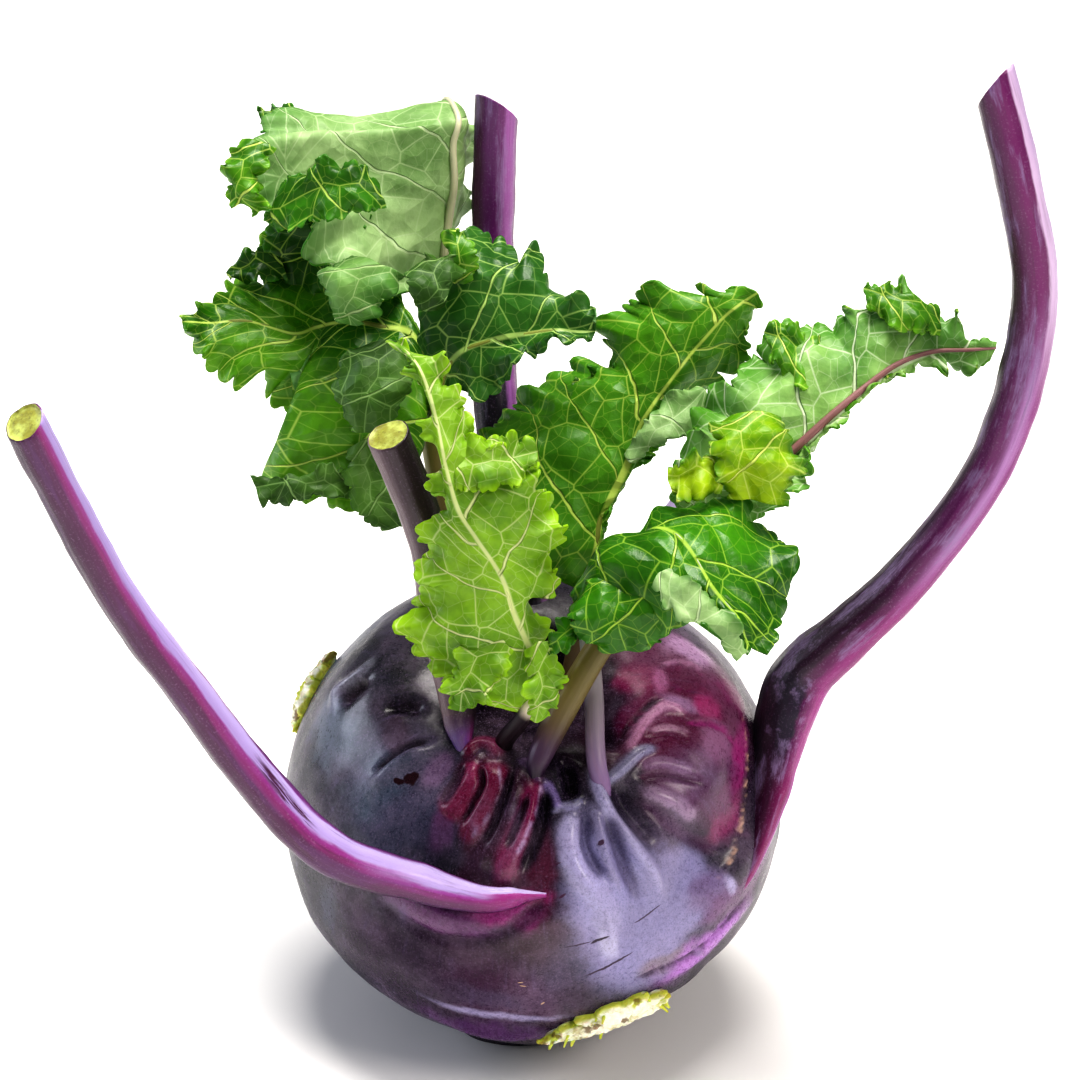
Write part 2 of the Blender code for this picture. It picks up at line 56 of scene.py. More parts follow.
# Swellings and hollows, in degrees from the crown and round it (0 right, -90 front):
# (down, round, spread down, spread round, height)
SWELLINGS = [
    (0, 0, 17, ALL_ROUND, -9.0),  # the hollow crown
    (45, 165, 16, 24, 2.6),  # the left, right and rear shoulders
    (47, 2, 14, 20, 3.0),
    (50, 92, 14, 24, 2.6),
    (80, -95, 26, 30, 1.2),  # the belly
    (46, -140, 9, 12, 0.9),  # the cheek below the left shoulder
    (49, -27, 9, 12, 1.8),  # the full lobe of the right shoulder
    (30, 6, 6, 8, 0.8),
    (22, -28, 6, 8, -1.8),  # the hollow between them
    (40, -50, 6, 4, -1.2),
    (62, -40, 12, 14, -1.2),
    (61, -110, 5, 18, 3.0),  # under the left and right stalks
    (73, -28, 7, 20, 2.0),
    (84, -47, 3, 16, 1.0),
    (90, -66, 5, 12, 1.4),  # the lips round the torn stalks
    (95, -99, 4, 14, 1.6),
    (127, -101, 5, 15, 3.8),
    (117, -41, 5, 14, 2.6),
    (118, -45, 18, 24, -3.5),  # the flatter sides of the underside
    (124, -122, 18, 26, -2.8),
    (103, -72, 9, 12, -2.2),
]
# Folds and grooves: (points they pass through, half width, height, tint, its strength); the tint is painted
# shade in the dark grooves and a painted highlight on the lit edges of the fingers and the left brow
FOLDS = [
    # the red fingers below the crown, with painted highlights along their edges
    ([(27, -124), (32, -119.5), (37, -120.5), (42, -122)], 3.8, 1.4, "6a0838", 1.0),
    ([(27, -122.5), (32, -118.5)], 1.1, 0.2, "9c4870", 0.4),
    ([(25, -115.5), (29.5, -107), (34.5, -107.5), (39.5, -110), (46, -112)], 3.3, 1.6, "640834", 1.0),
    ([(26, -108.5), (30.5, -103.5), (36, -105), (40.5, -108.5), (44.5, -110)], 0.6, 0.2, "a898bc", 0.4),
    ([(25, -96), (30.5, -98.5), (37, -101), (43.5, -103.5), (51, -106.5)], 2.8, 1.3, "320a24", 0.9),
    ([(28, -88), (35, -90), (41.5, -94), (47, -97), (53, -99)], 2.9, 1.7, "6c0c42", 1.0),
    ([(29, -85), (34.5, -87), (40.5, -91.5), (46.5, -95.5)], 0.6, 0.2, "b0a0c8", 0.5),
    ([(26.5, -129.5), (22.5, -130), (20.5, -121.5), (22.5, -109)], 1.8, 1.6, "5c0a32", 1.0),
    ([(22.5, -98), (24.5, -89.5), (28.5, -85.5)], 1.2, 0.8, "5c4468", 0.7),
    # the pale ridges right of them
    ([(37, -74), (43, -77), (49.5, -76.5), (55, -73), (61.5, -70.5), (69, -70.5)], 2.8, 1.6, "b4aed6", 0.7),
    ([(37, -65), (43, -65.5), (49, -66.5), (56.5, -65.5)], 1.5, 1.2, "8c86a8", 0.6),
    ([(29, -58.5), (35.5, -60), (42, -59.5), (49.5, -57), (56.5, -55), (63, -54.5)], 1.7, 2.2, "b0aad0", 0.8),
    ([(33, -55.5), (33, -50), (32.5, -42), (33, -33), (35.5, -27)], 1.4, 1.2, "908eae", 0.85),
    ([(36, -83), (35, -78), (35.5, -72), (34.5, -67.5)], 0.9, 0.7, "8884a8", 0.7),
    ([(28.5, -82.5), (32.5, -80.5), (35, -79)], 1.3, 1.2, "7a6a9c", 0.8),
    # the lobe of the right shoulder and its ribs
    ([(30.5, -35.5), (30, -23), (31.5, -12), (34.5, -6.5), (39, -7)], 1.2, 0.9, "c08cb0", 0.7),
    ([(35.5, -37), (38.5, -30.5), (45, -26.5)], 1.4, 0.5, "a080a4", 0.5),
    ([(40, -43.5), (45.5, -39), (53.5, -35.5)], 1.8, 0.8, "b094b4", 0.6),
    ([(32.5, -21), (36, -16), (40.5, -14.5)], 0.8, 0.3, "c8a0bc", 0.5),
    ([(34.5, 16), (40, 16.5), (45, 14.5)], 0.7, 0.3, "c890b8", 0.5),
    # the brow of the left shoulder, its pale grey a painted highlight along the dimple's rim, and the cheek
    ([(53, 173.5), (52, 170.5), (47.5, 169.5), (43.5, 167), (41, 162.5)], 1.5, 0.9, "80828e", 0.6),
    ([(48, -149.5), (41, -150), (35.5, -148.5), (31, -144)], 2.6, 1.0, "3a4450", 0.4),
    # the grooves, most of them darkened with painted shade in the crease; the magenta lines among them are
    # the skin's own
    ([(29, -127.5), (34, -125.5), (39.5, -125.5)], 1.5, -1.0, "1a0a1a", 0.8),
    ([(27, -118.5), (31, -113.5), (36, -114), (41.5, -115.5)], 0.8, -1.3, "2c0418", 0.95),
    ([(25.5, -101), (32, -101.5), (38, -103.5), (44.5, -106)], 1.0, -1.6, "140612", 0.9),
    ([(32, -92), (38, -95), (44.5, -98.5)], 0.9, -1.3, "1c0414", 0.9),
    ([(31, -83), (37, -85.5), (43.5, -89), (50, -93)], 1.7, -2.0, "0c0410", 1.0),
    ([(38.5, -69), (44.5, -71.5), (49.5, -71), (53.5, -69)], 1.4, -1.5, "565272", 0.75),
    ([(40.5, -61), (47, -61.5), (53.5, -62), (62, -61)], 1.6, -1.6, "524c68", 0.7),
    ([(25.5, -69.5), (29.5, -69.5), (33.5, -72)], 1.6, -2.6, "08040c", 1.0),
    ([(21, 1.5), (22, -25), (28, -42.5)], 2.8, -2.0, "1c0c1c", 0.95),
    ([(35.5, -51), (40.5, -53), (46.5, -51.5), (51.5, -49)], 2.4, -1.3, "2a2232", 0.75),
    ([(28.5, -36), (28, -21.5), (30, -9.5), (32.5, -3.5)], 0.7, -0.9, "200818", 0.9),
    ([(32.5, -26.5), (36, -20), (41.5, -17.5)], 0.5, -0.5, "6a2048", 0.8),
    ([(40, -11), (44, -8.5), (49, -7), (54, -8)], 0.8, -0.5, "8a1a68", 0.9),
    ([(37, -41.5), (41, -33.5), (49, -27)], 0.7, -0.7, "50183c", 0.8),
    ([(42.5, -45.5), (48.5, -44), (57.5, -39), (65.5, -34)], 1.6, -0.8, "4c2c48", 0.7),
    ([(36.5, 13), (41, 13.5), (44.5, 11.5)], 0.4, -0.3, "7a2458", 0.7),
    ([(35, 4.5), (39, 3), (43.5, 6)], 0.4, -0.3, "7a2458", 0.6),
    ([(45, -153.5), (39.5, -153.5), (34.5, -153), (30, -149)], 0.8, -1.5, "08080c", 1.0),
    ([(49.5, 176.5), (46, 174), (42, 171.5)], 1.7, -1.9, "100c10", 1.0),
    ([(37.5, -175), (33, -173), (29, -167.5)], 2.0, -1.3, "0c080c", 0.9),
    # below the left stalk, a groove darkened with painted shade, and the corky line beside the right one; the
    # last groove is painted shade as well
    ([(68, -130), (68.5, -112), (65, -100), (60, -92), (56, -86)], 1.8, -0.8, "240f24", 0.7),
    ([(56, 3), (60, -8), (63, -17), (66, -25.5), (68, -33), (69, -39)], 0.5, 0.3, "c8a48c", 0.85),
    ([(81.5, -66), (82, -56), (82, -44), (81, -32)], 0.6, -0.5, "2c1434", 0.9),
]


# ------------------------------------------------------------- helpers for shapes
def spline(a, b, c, d, f):
    """The smooth line through four points, at a share f of the way from the second to the third."""
    bend, twist = 2 * a - 5 * b + 4 * c - d, 3 * b - a - 3 * c + d
    return 0.5 * (2 * b + (c - a) * f + bend * f**2 + twist * f**3)


def through(points, t):
    """Points on a smooth line through the given ones; t is an array from 0 to 1."""
    points = np.asarray(points, float)
    last = len(points) - 1
    x = np.clip(t, 0, 1) * last
    i = np.minimum(x.astype(int), last - 1)
    ends = np.vstack([2 * points[0] - points[1], points, 2 * points[-1] - points[-2]])
    return spline(ends[i], ends[i + 1], ends[i + 2], ends[i + 3], (x - i)[..., None])


def through_rows(rows, t):
    """The same smooth line, but each t has points of its own, one in each row."""
    last = len(rows) - 1
    x = np.clip(t, 0, 1) * last
    i = np.minimum(x.astype(int), last - 1)
    ends = np.concatenate([2 * rows[:1] - rows[1:2], rows, 2 * rows[-1:] - rows[-2:-1]])
    own = np.arange(len(t))
    return spline(ends[i, own], ends[i + 1, own], ends[i + 2, own], ends[i + 3, own], (x - i)[:, None])


def way_along(line, t, step):
    """The direction of a smooth line at each t."""
    return unit(through(line, t + step) - through(line, t - step))


def unit(v):
    return v / np.maximum(np.linalg.norm(v, axis=-1, keepdims=True), 1e-9)


def soft(value, low, high):
    """0 below low, 1 above high, and smooth between them."""
    x = np.clip((value - low) / (high - low), 0, 1)
    return x * x * (3 - 2 * x)


def wander(points, size, seed):
    """Smooth noise from -1 to 1 at each point, with lumps of the given size."""
    shift = Vector((seed * 7.31, seed * 3.17, seed * 1.93))
    flat = np.asarray(points, float).reshape(-1, 3) / size
    found = [noise.noise(Vector(p) + shift) for p in flat]
    return np.array(found).reshape(np.shape(points)[:-1])


def add_piece(name, shape, finishes, slot, *replaced):
    """Make a piece, in metres, of a bmesh in millimetres, hang it from the root's empty and hide the parts it
    replaces.
    """
    bmesh.ops.scale(shape, vec=(MM, MM, MM), verts=shape.verts)
    mesh = bpy.data.meshes.new(name)
    shape.to_mesh(mesh)
    shape.free()
    mesh.shade_smooth()
    for finish in finishes:
        mesh.materials.append(finish)
    piece = bpy.data.objects.new(name, mesh)
    bpy.context.scene.collection.objects.link(piece)
    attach(piece, "root")
    if replaced:
        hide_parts(*replaced)
    return piece


def grid_sheet(across, along):
    """A flat grid with its vertices' places in it, from 0 to 1 across and along."""
    shape = bmesh.new()
    bmesh.ops.create_grid(shape, x_segments=across, y_segments=along, size=0.5)
    places = np.array([(vert.co.x + 0.5, vert.co.y + 0.5) for vert in shape.verts])
    return shape, places[:, 0], places[:, 1]


def lay_uv(shape, name, u, v):
    """Give every vertex one place on a UV map."""
    layer = shape.loops.layers.uv.new(name)
    shape.verts.index_update()
    for face in shape.faces:
        for loop in face.loops:
            k = loop.vert.index
            loop[layer].uv = (u[k], v[k])


def move_to(shape, points):
    for vert, point in zip(shape.verts, points):
        vert.co = point


def cut_off(shape, where, facing):
    """Cut away what lies beyond a plane, and give the edges of the cut."""
    everything = shape.verts[:] + shape.edges[:] + shape.faces[:]
    cut = bmesh.ops.bisect_plane(shape, geom=everything, plane_co=where, plane_no=facing, clear_outer=True)
    return [item for item in cut["geom_cut"] if isinstance(item, bmesh.types.BMEdge)]


def cut_level(shape, height):
    """Cut a closed shape off level at a height, and close it there."""
    bmesh.ops.contextual_create(shape, geom=cut_off(shape, (0, 0, height), (0, 0, -1)))
    bmesh.ops.recalc_face_normals(shape, faces=shape.faces)


# ------------------------------------------------------------- helpers for materials
SMOOTH = {"interpolation_type": "SMOOTHSTEP"}
PAINT = {"data_type": "RGBA"}
HALFWAY = (0.5, 0.5, 0.5)  # the middle of a coloured noise


def colour(text):
    """An sRGB colour such as 8a3f7c, as the linear one that a shader takes."""
    parts = [int(text[k:k + 2], 16) / 255 for k in (0, 2, 4)]
    return (*[c / 12.92 if c <= 0.04045 else ((c + 0.055) / 1.055) ** 2.4 for c in parts], 1.0)


def fill(tree, sockets, values):
    """Link each value that comes from a node to its socket, and set the others on it."""
    for socket, value in zip(sockets, values):
        if isinstance(value, bpy.types.NodeSocket):
            tree.links.new(value, socket)
        else:
            socket.default_value = value


def add(tree, kind, *values, out=0, **named):
    """Add a shader node and give one of its outputs.

    The values go to the inputs that the node shows, in their order. Names with a capital are inputs
    too, and the others are settings, which come first because they change what the node shows.
    """
    made = tree.nodes.new("ShaderNode" + kind)
    for key in filter(str.islower, named):
        setattr(made, key, named[key])
    inputs = {key: value for key, value in named.items() if not key.islower()}
    fill(tree, [socket for socket in made.inputs if socket.enabled], values)
    fill(tree, [made.inputs[key] for key in inputs], inputs.values())
    if isinstance(out, str):
        return made.outputs[out]
    return [socket for socket in made.outputs if socket.enabled][out]


def new_material(name):
    """A material, a short way to add nodes to it, and Object coordinates."""
    made = bpy.data.materials.new(name)
    made.use_nodes = True
    node = partial(add, made.node_tree)
    return made, node, node("TexCoord", out="Object")


def dress(made, values):
    """Set or link the Principled shader's own sockets."""
    shader = made.node_tree.nodes["Principled BSDF"]
    fill(made.node_tree, [shader.inputs[key] for key in values], values.values())
    return made


def wash(node, paint, pattern, low, high, share, shade, **settings):
    """Lay a shade over the paint: none where the pattern is low, and that share of it where it is high."""
    amount = node("MapRange", pattern, low, high, 0.0, share, **SMOOTH)
    shade = colour(shade) if isinstance(shade, str) else shade
    return node("Mix", amount, paint, shade, **PAINT, **settings)


def together(node, *rows):
    """The product of patterns, each as (pattern, low, high) and the values it starts and ends with."""
    share = node("MapRange", *rows[0], **SMOOTH)
    for row in rows[1:]:
        share = node("Math", share, node("MapRange", *row, **SMOOTH), operation="MULTIPLY")
    return share


def streaky(node, skin, across, along, detail, rough):
    """Noise that is drawn out along a skin, with so many lumps across it and along it."""
    drawn = node("Mapping", Vector=skin, Scale=(across, along, 1.0))
    return node("TexNoise", Vector=drawn, Scale=1.0, Detail=detail, Roughness=rough)


def lumps(node, where, *looks):
    """Noises over Object coordinates, each as (lumps in a metre, detail, roughness)."""
    return [node("TexNoise", Vector=where, Scale=many, Detail=detail, Roughness=rough)
            for many, detail, rough in looks]


# ------------------------------------------------------------- the bulb
def beside(down):
    """How long a degree round the bulb is, next to a degree down it."""
    return np.sin(np.radians(np.maximum(down, POLE)))


def bell(down, turn, at, middle, spread, spread_round):
    """1 in the middle of a round patch of the bulb, falling off over its two spreads."""
    across = ((turn - middle + 180) % 360 - 180) * beside(down)
    return np.exp(-(((down - at) / spread) ** 2) - (across / spread_round) ** 2)


def on_fold(down, turn, fold):
    """1 along the middle of a fold, falling to 0 at its sides and ends."""
    path, width = fold[:2]
    line = through(path, np.linspace(0, 1, FOLD_STEPS + 1))
    share = np.zeros(np.shape(down))
    close = (down > line[:, 0].min() - 4 * width) & (down < line[:, 0].max() + 4 * width)
    down, turn = down[close], turn[close]
    arc = beside(down)
    aside = (line[0, 1] - turn + 180) % 360 - 180
    gaps = [(row[0] - down, (aside + row[1] - line[0, 1]) * arc) for row in line]
    nearest, place = np.full(down.shape, 1e6), np.zeros(down.shape)
    for k in range(FOLD_STEPS):
        (y, x), (next_y, next_x) = gaps[k], gaps[k + 1]
        ahead_y, ahead_x = next_y - y, next_x - x
        on = np.clip(-(y * ahead_y + x * ahead_x) / (ahead_y**2 + ahead_x**2 + 1e-9), 0, 1)
        far = (y + on * ahead_y) ** 2 + (x + on * ahead_x) ** 2
        place = np.where(far < nearest, (k + on) / FOLD_STEPS, place)
        nearest = np.minimum(far, nearest)
    ends = soft(place, -0.12, 0.2) * (1 - soft(place, 0.78, 1.1))
    share[close] = ends * np.exp(-nearest / width**2)
    return share


def bulb_radius(down, turn):
    """Distance from the bulb's centre to its skin, the angles in degrees, as arrays."""
    s, c = np.sin(np.radians(down)), np.cos(np.radians(down))
    height = np.where(c > 0, CROWN_HEIGHT, UNDER_HEIGHT)
    radius = 1.0 / np.hypot(s / BULB_RADIUS, c / height)
    for *patch, rise in SWELLINGS:
        radius = radius + rise * bell(down, turn, *patch)
    for fold in FOLDS:
        radius = radius + fold[2] * on_fold(down, turn, fold)
    return radius


def bulb_rays(down, turn):
    """Directions from the bulb's centre, before it leans."""
    a, b = np.radians(down), np.radians(turn)
    return np.stack([np.sin(a) * np.cos(b), np.sin(a) * np.sin(b), np.cos(a)], -1)


def bulb_points(down, turn, extra=0.0):
    lean = np.array(Matrix.Rotation(LEAN, 3, "X"))
    reach = bulb_radius(down, turn) + extra
    return BULB_CENTRE + (bulb_rays(down, turn) * reach[..., None]) @ lean.T


# Tints of the skin, some of them painted highlights, painted sheen and painted shade: (down, round, spread
# down, spread round, colour, strength)
TINTS_AND_PAINTED_LIGHT = [
    (60, -178, 44, 56, "14161e", 1.0),  # the slate left side, darkened as painted shade where less light falls
    (46, -142, 17, 17, "34364a", 0.9),
    (46, -149, 9, 6, "3a4a58", 0.8),
    # painted grey-blue sheen along the left edge
    (64, 143, 11, 14, "56616d", 0.85),
    (56, 179, 7, 7, "5c6874", 0.85),
    (52, -172, 7, 6, "4c5862", 0.8),
    # the top of the left shoulder, painted near-black as the shadow of the leaves
    (34, 152, 11, 14, "0c0a0e", 1.0),
    (36.5, -160, 3.5, 7, "42303f", 0.8),
    # a painted violet sheen
    (33, -136, 5, 2.6, "6a5070", 0.8),
    (44, -121, 6, 3, "5c3a62", 0.8),
    # the lower left, likewise darkened as painted shade
    (76, -150, 13, 16, "14161c", 1.0),
    # a painted sheen low on the left
    (81, -144, 7, 3, "36404c", 0.7),
    (8, -90, 16, 60, "0a040a", 1.0),  # the deep crown, painted near-black as the shade between the stalks
    (40, 0, 20, 26, "5c0f3c", 1.0),  # the crimson right shoulder
    # the hollow at the top of the right shoulder, painted near-black as shade
    (20, 0, 7, 13, "1c0c1c", 1.0),
    (28, 8, 4.5, 5, "6e1244", 1.0),
    # a painted highlight
    (32.5, 6, 1.7, 3.6, "b0709c", 0.6),
    # the lavender-pink top of the shoulder: bloom under a painted sheen
    (46, 25, 7, 6, "b890b8", 0.95),
    (38, -3.5, 5, 2.2, "a884ac", 0.7),
    (44.5, -1, 3.4, 3.6, "9c2468", 0.9),
    (53, 8, 8, 4, "7a1a58", 0.95),
    (47, -29, 8, 8, "6a3a62", 0.9),
    # a painted highlight on the lobe
    (48.5, -13, 6, 5, "98668c", 0.8),
    (36, -46, 4.5, 5, "3a3440", 0.9),
    (66, -58, 12, 15, "948fbb", 1.0),  # the lavender front
    (61, -67, 20, 11, "9a96c2", 1.0),
    (74, -62, 10, 13, "8e89b4", 0.9),
    # painted shade under the lobe's edge
    (52.5, -46, 4.5, 4, "3c3046", 0.8),
    (64, -47, 8, 7, "8a85b0", 0.95),
    (70, -43, 4, 6, "77628c", 0.9),
    # a painted highlight along the pale ridge
    (66, -72, 6, 2.6, "d8d4f2", 0.8),
    (57, -14, 3.6, 14, "94106c", 1.0),  # the bright edge beside the right stalk
    (62, -26, 4.0, 8, "7c0c54", 0.95),
    (78, -31, 5, 11, "5e3a62", 0.95),
    (75, -42, 3.4, 6, "6a4070", 0.9),
    (72.5, -37, 2.8, 1.3, "b8b0d8", 0.8),
    (80.5, -58, 2.2, 7, "7a6c70", 0.8),
    (84.5, -47, 4.0, 14, "b074c6", 1.0),
    (48, -87, 10, 3.6, "4a0f2e", 1.0),  # the dark red flat below the fingers
    (59, -90, 6, 7, "3a0a26", 1.0),
    (52, -97, 6, 5, "3c0c28", 0.9),
    (52, -108, 7, 4, "320c26", 0.9),
    (63.5, -116, 4.2, 19, "521252", 1.0),  # the swelling under the left stalk
    (58.5, -97, 3.0, 8, "861e6c", 0.95),
    (55.5, -89, 1.8, 4.5, "7c1a58", 0.9),
    (74, -110, 5.5, 18, "26102a", 1.0),
    (70, -99, 4, 14, "2e0c28", 0.95),
    (66, -90, 4, 6, "2c0818", 0.95),
    (81, -100, 9, 19, "3a0c34", 1.0),
    (75, -84, 4.5, 3.4, "3a2440", 0.7),
    (82.5, -101, 3.6, 9, "4c4460", 0.4),
    (84, -124, 16, 18, "240a2a", 0.9),
    (54, -24, 6, 9, "4c1040", 0.8),
    (87.5, -98, 1.1, 15, "a098bc", 0.9),
    (95, -99, 5, 16, "471454", 1.0),
    # the very bottom, painted darkest as shade next to the floor
    (101, -97, 3.6, 14, "200818", 1.0),
]
# Where the pale bloom lies thick: (down, round, spread down, spread round, thickness)
BLOOMS = [
    (60, -66, 17, 10, 0.55),
    (64, -54, 10, 14, 0.5),
    # partly bloom, partly painted sheen on the left edge
    (56, 180, 8, 10, 0.3),
    (46, -142, 12, 12, 0.22),
    # partly bloom, partly painted sheen low on the left
    (84, -146, 7, 8, 0.3),
    (82, -98, 5, 14, 0.16),
    (75, -84, 6, 5, 0.3),
    (47, -27, 9, 9, 0.35),
    (41, -111, 5, 1.6, 0.3),
    (36, -97, 5, 2.5, 0.35),
    (66, -124, 3, 6, 0.3),
    (60, 100, 30, 60, 0.3),
    (100, 60, 30, 80, 0.3),
]
# Where it mirrors less light: the crown, the right hollow, the fingers and the belly
DULL = [
    (10, -90, 17, 60, 0.95),
    (27, -12, 7, 15, 0.7),
    (38, -22, 5, 10, 0.3),
    (36, -108, 10, 16, 0.5),
    (82, -114, 15, 30, 0.62),
    (46, -150, 12, 14, 0.3),
]
# Where the bloom is thin and the dark bare skin shows: worn patches, and the crown and hollows, where the
# bare skin stands in for painted shade
WORN_AND_SHADED = [
    (14, 0, 14, 60, 1.0),
    (45, 174, 4, 5, 1.0),
    (33, -172, 5, 7, 0.9),
    (24, -20, 8, 9, 1.0),
    (39, -141, 2.6, 3.6, 1.0),
    (50, -88, 9, 4, 1.0),
]
BARE_SKIN = "1a1022"
LEAST_BLOOM = 0.05


def make_bulb(finish):
    shape = bmesh.new()
    bmesh.ops.create_uvsphere(shape, u_segments=AROUND, v_segments=DOWN, radius=1.0)
    ball = np.array([vert.co for vert in shape.verts])
    down = np.degrees(np.arccos(np.clip(ball[:, 2], -1, 1)))
    around = np.arctan2(ball[:, 1], ball[:, 0])
    turn = np.degrees(around - 0.5 * np.sin(around)) - 90  # closer together at the front
    rays = bulb_rays(down, turn)
    lump = wander(rays, 0.22, 3) * 0.35 + wander(rays, 0.08, 5) * 0.10
    move_to(shape, bulb_points(down, turn, lump))
    tint = shape.verts.layers.float_color.new("tint")
    bloom = shape.verts.layers.float.new("bloom")
    shine = shape.verts.layers.float.new("shine")
    lay_uv(shape, "skin", around / math.tau + 0.5, down / 180)
    lay_uv(shape, "angles", (turn + 270) % 360 / 360, down / 180)
    for vert, *looks in zip(shape.verts, *paint_bulb(rays, down, turn)):
        vert[tint], vert[bloom], vert[shine] = (*looks[0], 1.0), min(looks[1], 1.0), looks[2]
    cut_level(shape, 0.0)
    return add_piece("bulb_skin", shape, [finish], "skin", "bulb")


def paint_bulb(rays, down, turn):
    """The skin's colour with its painted highlights, sheen and shade, how thick the bloom lies on it and how
    much light it mirrors, at each place.
    """
    ragged = wander(rays, 0.10, 9) * 3.0 + wander(rays, 0.035, 11) * 1.2
    paint = np.tile(np.array(colour(BARE_SKIN)[:3]), (len(rays), 1))
    for at, middle, spread, spread_round, shade, strength in TINTS_AND_PAINTED_LIGHT:
        reach = min(1.0, 0.22 * min(spread, spread_round))
        here = bell(down + reach * ragged, turn + reach * ragged, at, middle, spread, spread_round)
        share = strength * soft(here, 0.10, 0.72)
        paint += (np.array(colour(shade)[:3]) - paint) * share[:, None]
    gloss = np.ones(len(rays))
    for *patch, amount in DULL:
        gloss *= 1 - amount * np.clip(1.4 * bell(down, turn, *patch), 0, 1)
    gaps = wander(rays, 0.03, 21)
    for fold in FOLDS:
        on = on_fold(down, turn + 0.15 * ragged, fold)
        share = fold[4] * soft(on, 0.08, 0.6) * soft(gaps + 1.6 * fold[1], 0.6, 1.1)
        paint += (np.array(colour(fold[3])[:3]) - paint) * share[:, None]
        if fold[2] < 0:
            gloss *= 1 - 0.8 * on
    thick = np.full(len(rays), LEAST_BLOOM)
    for *patch, amount in BLOOMS:
        thick += amount * bell(down + ragged, turn - ragged, *patch)
    for *patch, amount in WORN_AND_SHADED:
        thick *= 1 - amount * np.clip(1.3 * bell(down + 0.4 * ragged, turn, *patch), 0, 1)
    return paint, thick, gloss


# Scratches and blots: (down, round, length, width, tilt, colour, strength)
MARKS = [
    (67.3, -73.5, 5.0, 0.7, 14, "240824", 0.95),
    (67.6, -79, 7.0, 0.35, 3, "2c0a2c", 0.85),
    (74.6, -72, 13, 0.65, 14, "2c0a2c", 0.95),
    (66.2, -60, 8.5, 0.45, 9, "2c0a2c", 0.85),
    (55.5, -81.5, 2.0, 0.6, 24, "3c0c30", 0.9),
    (48, -82, 2.0, 0.5, 20, "3c0c30", 0.8),
    (39, -141.5, 4.6, 3.4, 50, "22040f", 1.0),
    (41.5, -144, 2.8, 1.5, 30, "22040f", 1.0),
    (45.5, -67, 1.8, 1.0, 30, "380c30", 0.9),
    (76, -92.5, 1.4, 0.3, 10, "c8a888", 0.8),
    (77, -92, 1.6, 0.3, -10, "c8a888", 0.8),
    (82.5, -87.5, 1.2, 0.5, 30, "c8a888", 0.9),
]


def mark(node, angles, down, turn, length, width, tilt, ragged):
    """1 on a short scratch or a small blot of the skin, its sizes in degrees of arc."""
    arc = 360 * math.sin(math.radians(down))
    centre = ((turn + 270) % 360 / 360, down / 180, 0)
    away = node("VectorMath", angles, centre, operation="SUBTRACT")
    level = node("VectorMath", away, (arc, 180, 0), operation="MULTIPLY")
    turned = node("Mapping", Vector=level, Rotation=(0, 0, math.radians(tilt)))
    shifted = node("VectorMath", turned, ragged, operation="ADD")
    inside = node("VectorMath", shifted, (2 / length, 2 / width, 0), operation="MULTIPLY")
    return node("MapRange", node("VectorMath", inside, operation="LENGTH"), 0.75, 1.05, 1.0, 0.0, **SMOOTH)


def waxy_skin():
    """Dark purple skin under a grey-lavender bloom that is rubbed thin in streaks and spots; the colour it is
    given at each place holds painted highlights, sheen and shade as well.

    The clouds in it are 11 mm across, the spots 0.9 mm and the grains 0.3 mm.
    """
    made, node, where = new_material("waxy purple skin")
    tint = node("Attribute", attribute_name="tint", out="Color")
    bloom = node("Attribute", attribute_name="bloom", out="Fac")
    shine = node("Attribute", attribute_name="shine", out="Fac")
    angles = node("UVMap", uv_map="angles")
    cloudy, fine, grain = lumps(node, where, (90.0, 5.0, 0.62), (1100.0, 3.0, 0.7), (3200.0, 2.0, 0.6))
    streaks = streaky(node, node("UVMap", uv_map="skin"), 150.0, 18.0, 4.0, 0.6)
    lighter = node("Mix", 1.0, tint, colour("e0c0e0"), blend_type="SCREEN", **PAINT)
    paint = wash(node, tint, cloudy, 0.40, 0.75, 0.12, lighter)
    paint = wash(node, paint, streaks, 0.54, 0.74, 0.20, "786890")
    rubbed = together(node, (cloudy, 0.34, 0.60, 0.45, 1.15), (streaks, 0.30, 0.70, 0.80, 1.15),
                      (fine, 0.30, 0.65, 0.72, 1.10))
    bloom = node("Math", bloom, 1.3, operation="POWER")
    patchy = node("Math", bloom, rubbed, operation="MULTIPLY", use_clamp=True)
    bloomed = node("Math", patchy, 0.75, operation="MULTIPLY")
    paint = node("Mix", bloomed, paint, colour("8682a2"), **PAINT)
    paint = wash(node, paint, fine, 0.62, 0.30, 0.22, "140a1a")
    paint = wash(node, paint, grain, 0.50, 0.28, 0.30, "180c20")
    paint = wash(node, paint, grain, 0.52, 0.75, 0.17, "b8a0c4")
    wavy = node("TexNoise", Vector=where, Scale=500.0, Detail=3.0, out="Color")
    ragged = node("VectorMath", wavy, HALFWAY, operation="SUBTRACT")
    for down, turn, length, width, tilt, shade, strength in MARKS:
        loose = node("VectorMath", ragged, Scale=0.8 * width + 0.4, operation="SCALE")
        here = mark(node, angles, down, turn, length, width, tilt, loose)
        here = node("Math", here, strength, operation="MULTIPLY")
        paint = node("Mix", here, paint, colour(shade), **PAINT)
    edge = node("LayerWeight", Blend=0.5, out="Facing")
    faced = node("MapRange", edge, 0.5, 0.9, 0.52, 0.08, **SMOOTH)
    dull = node("Math", patchy, fine, operation="ADD")
    height = node("Math", fine, 0.12, operation="MULTIPLY")
    height = node("Math", cloudy, 0.6, height, operation="MULTIPLY_ADD")
    return dress(made, {
        "Base Color": paint,
        "Roughness": node("MapRange", dull, 0.2, 1.4, 0.24, 0.46, **SMOOTH),
        "Specular IOR Level": node("Math", shine, faced, operation="MULTIPLY"),
        "Normal": node("Bump", Height=height, Strength=0.35, Distance=0.6 * MM),
    })


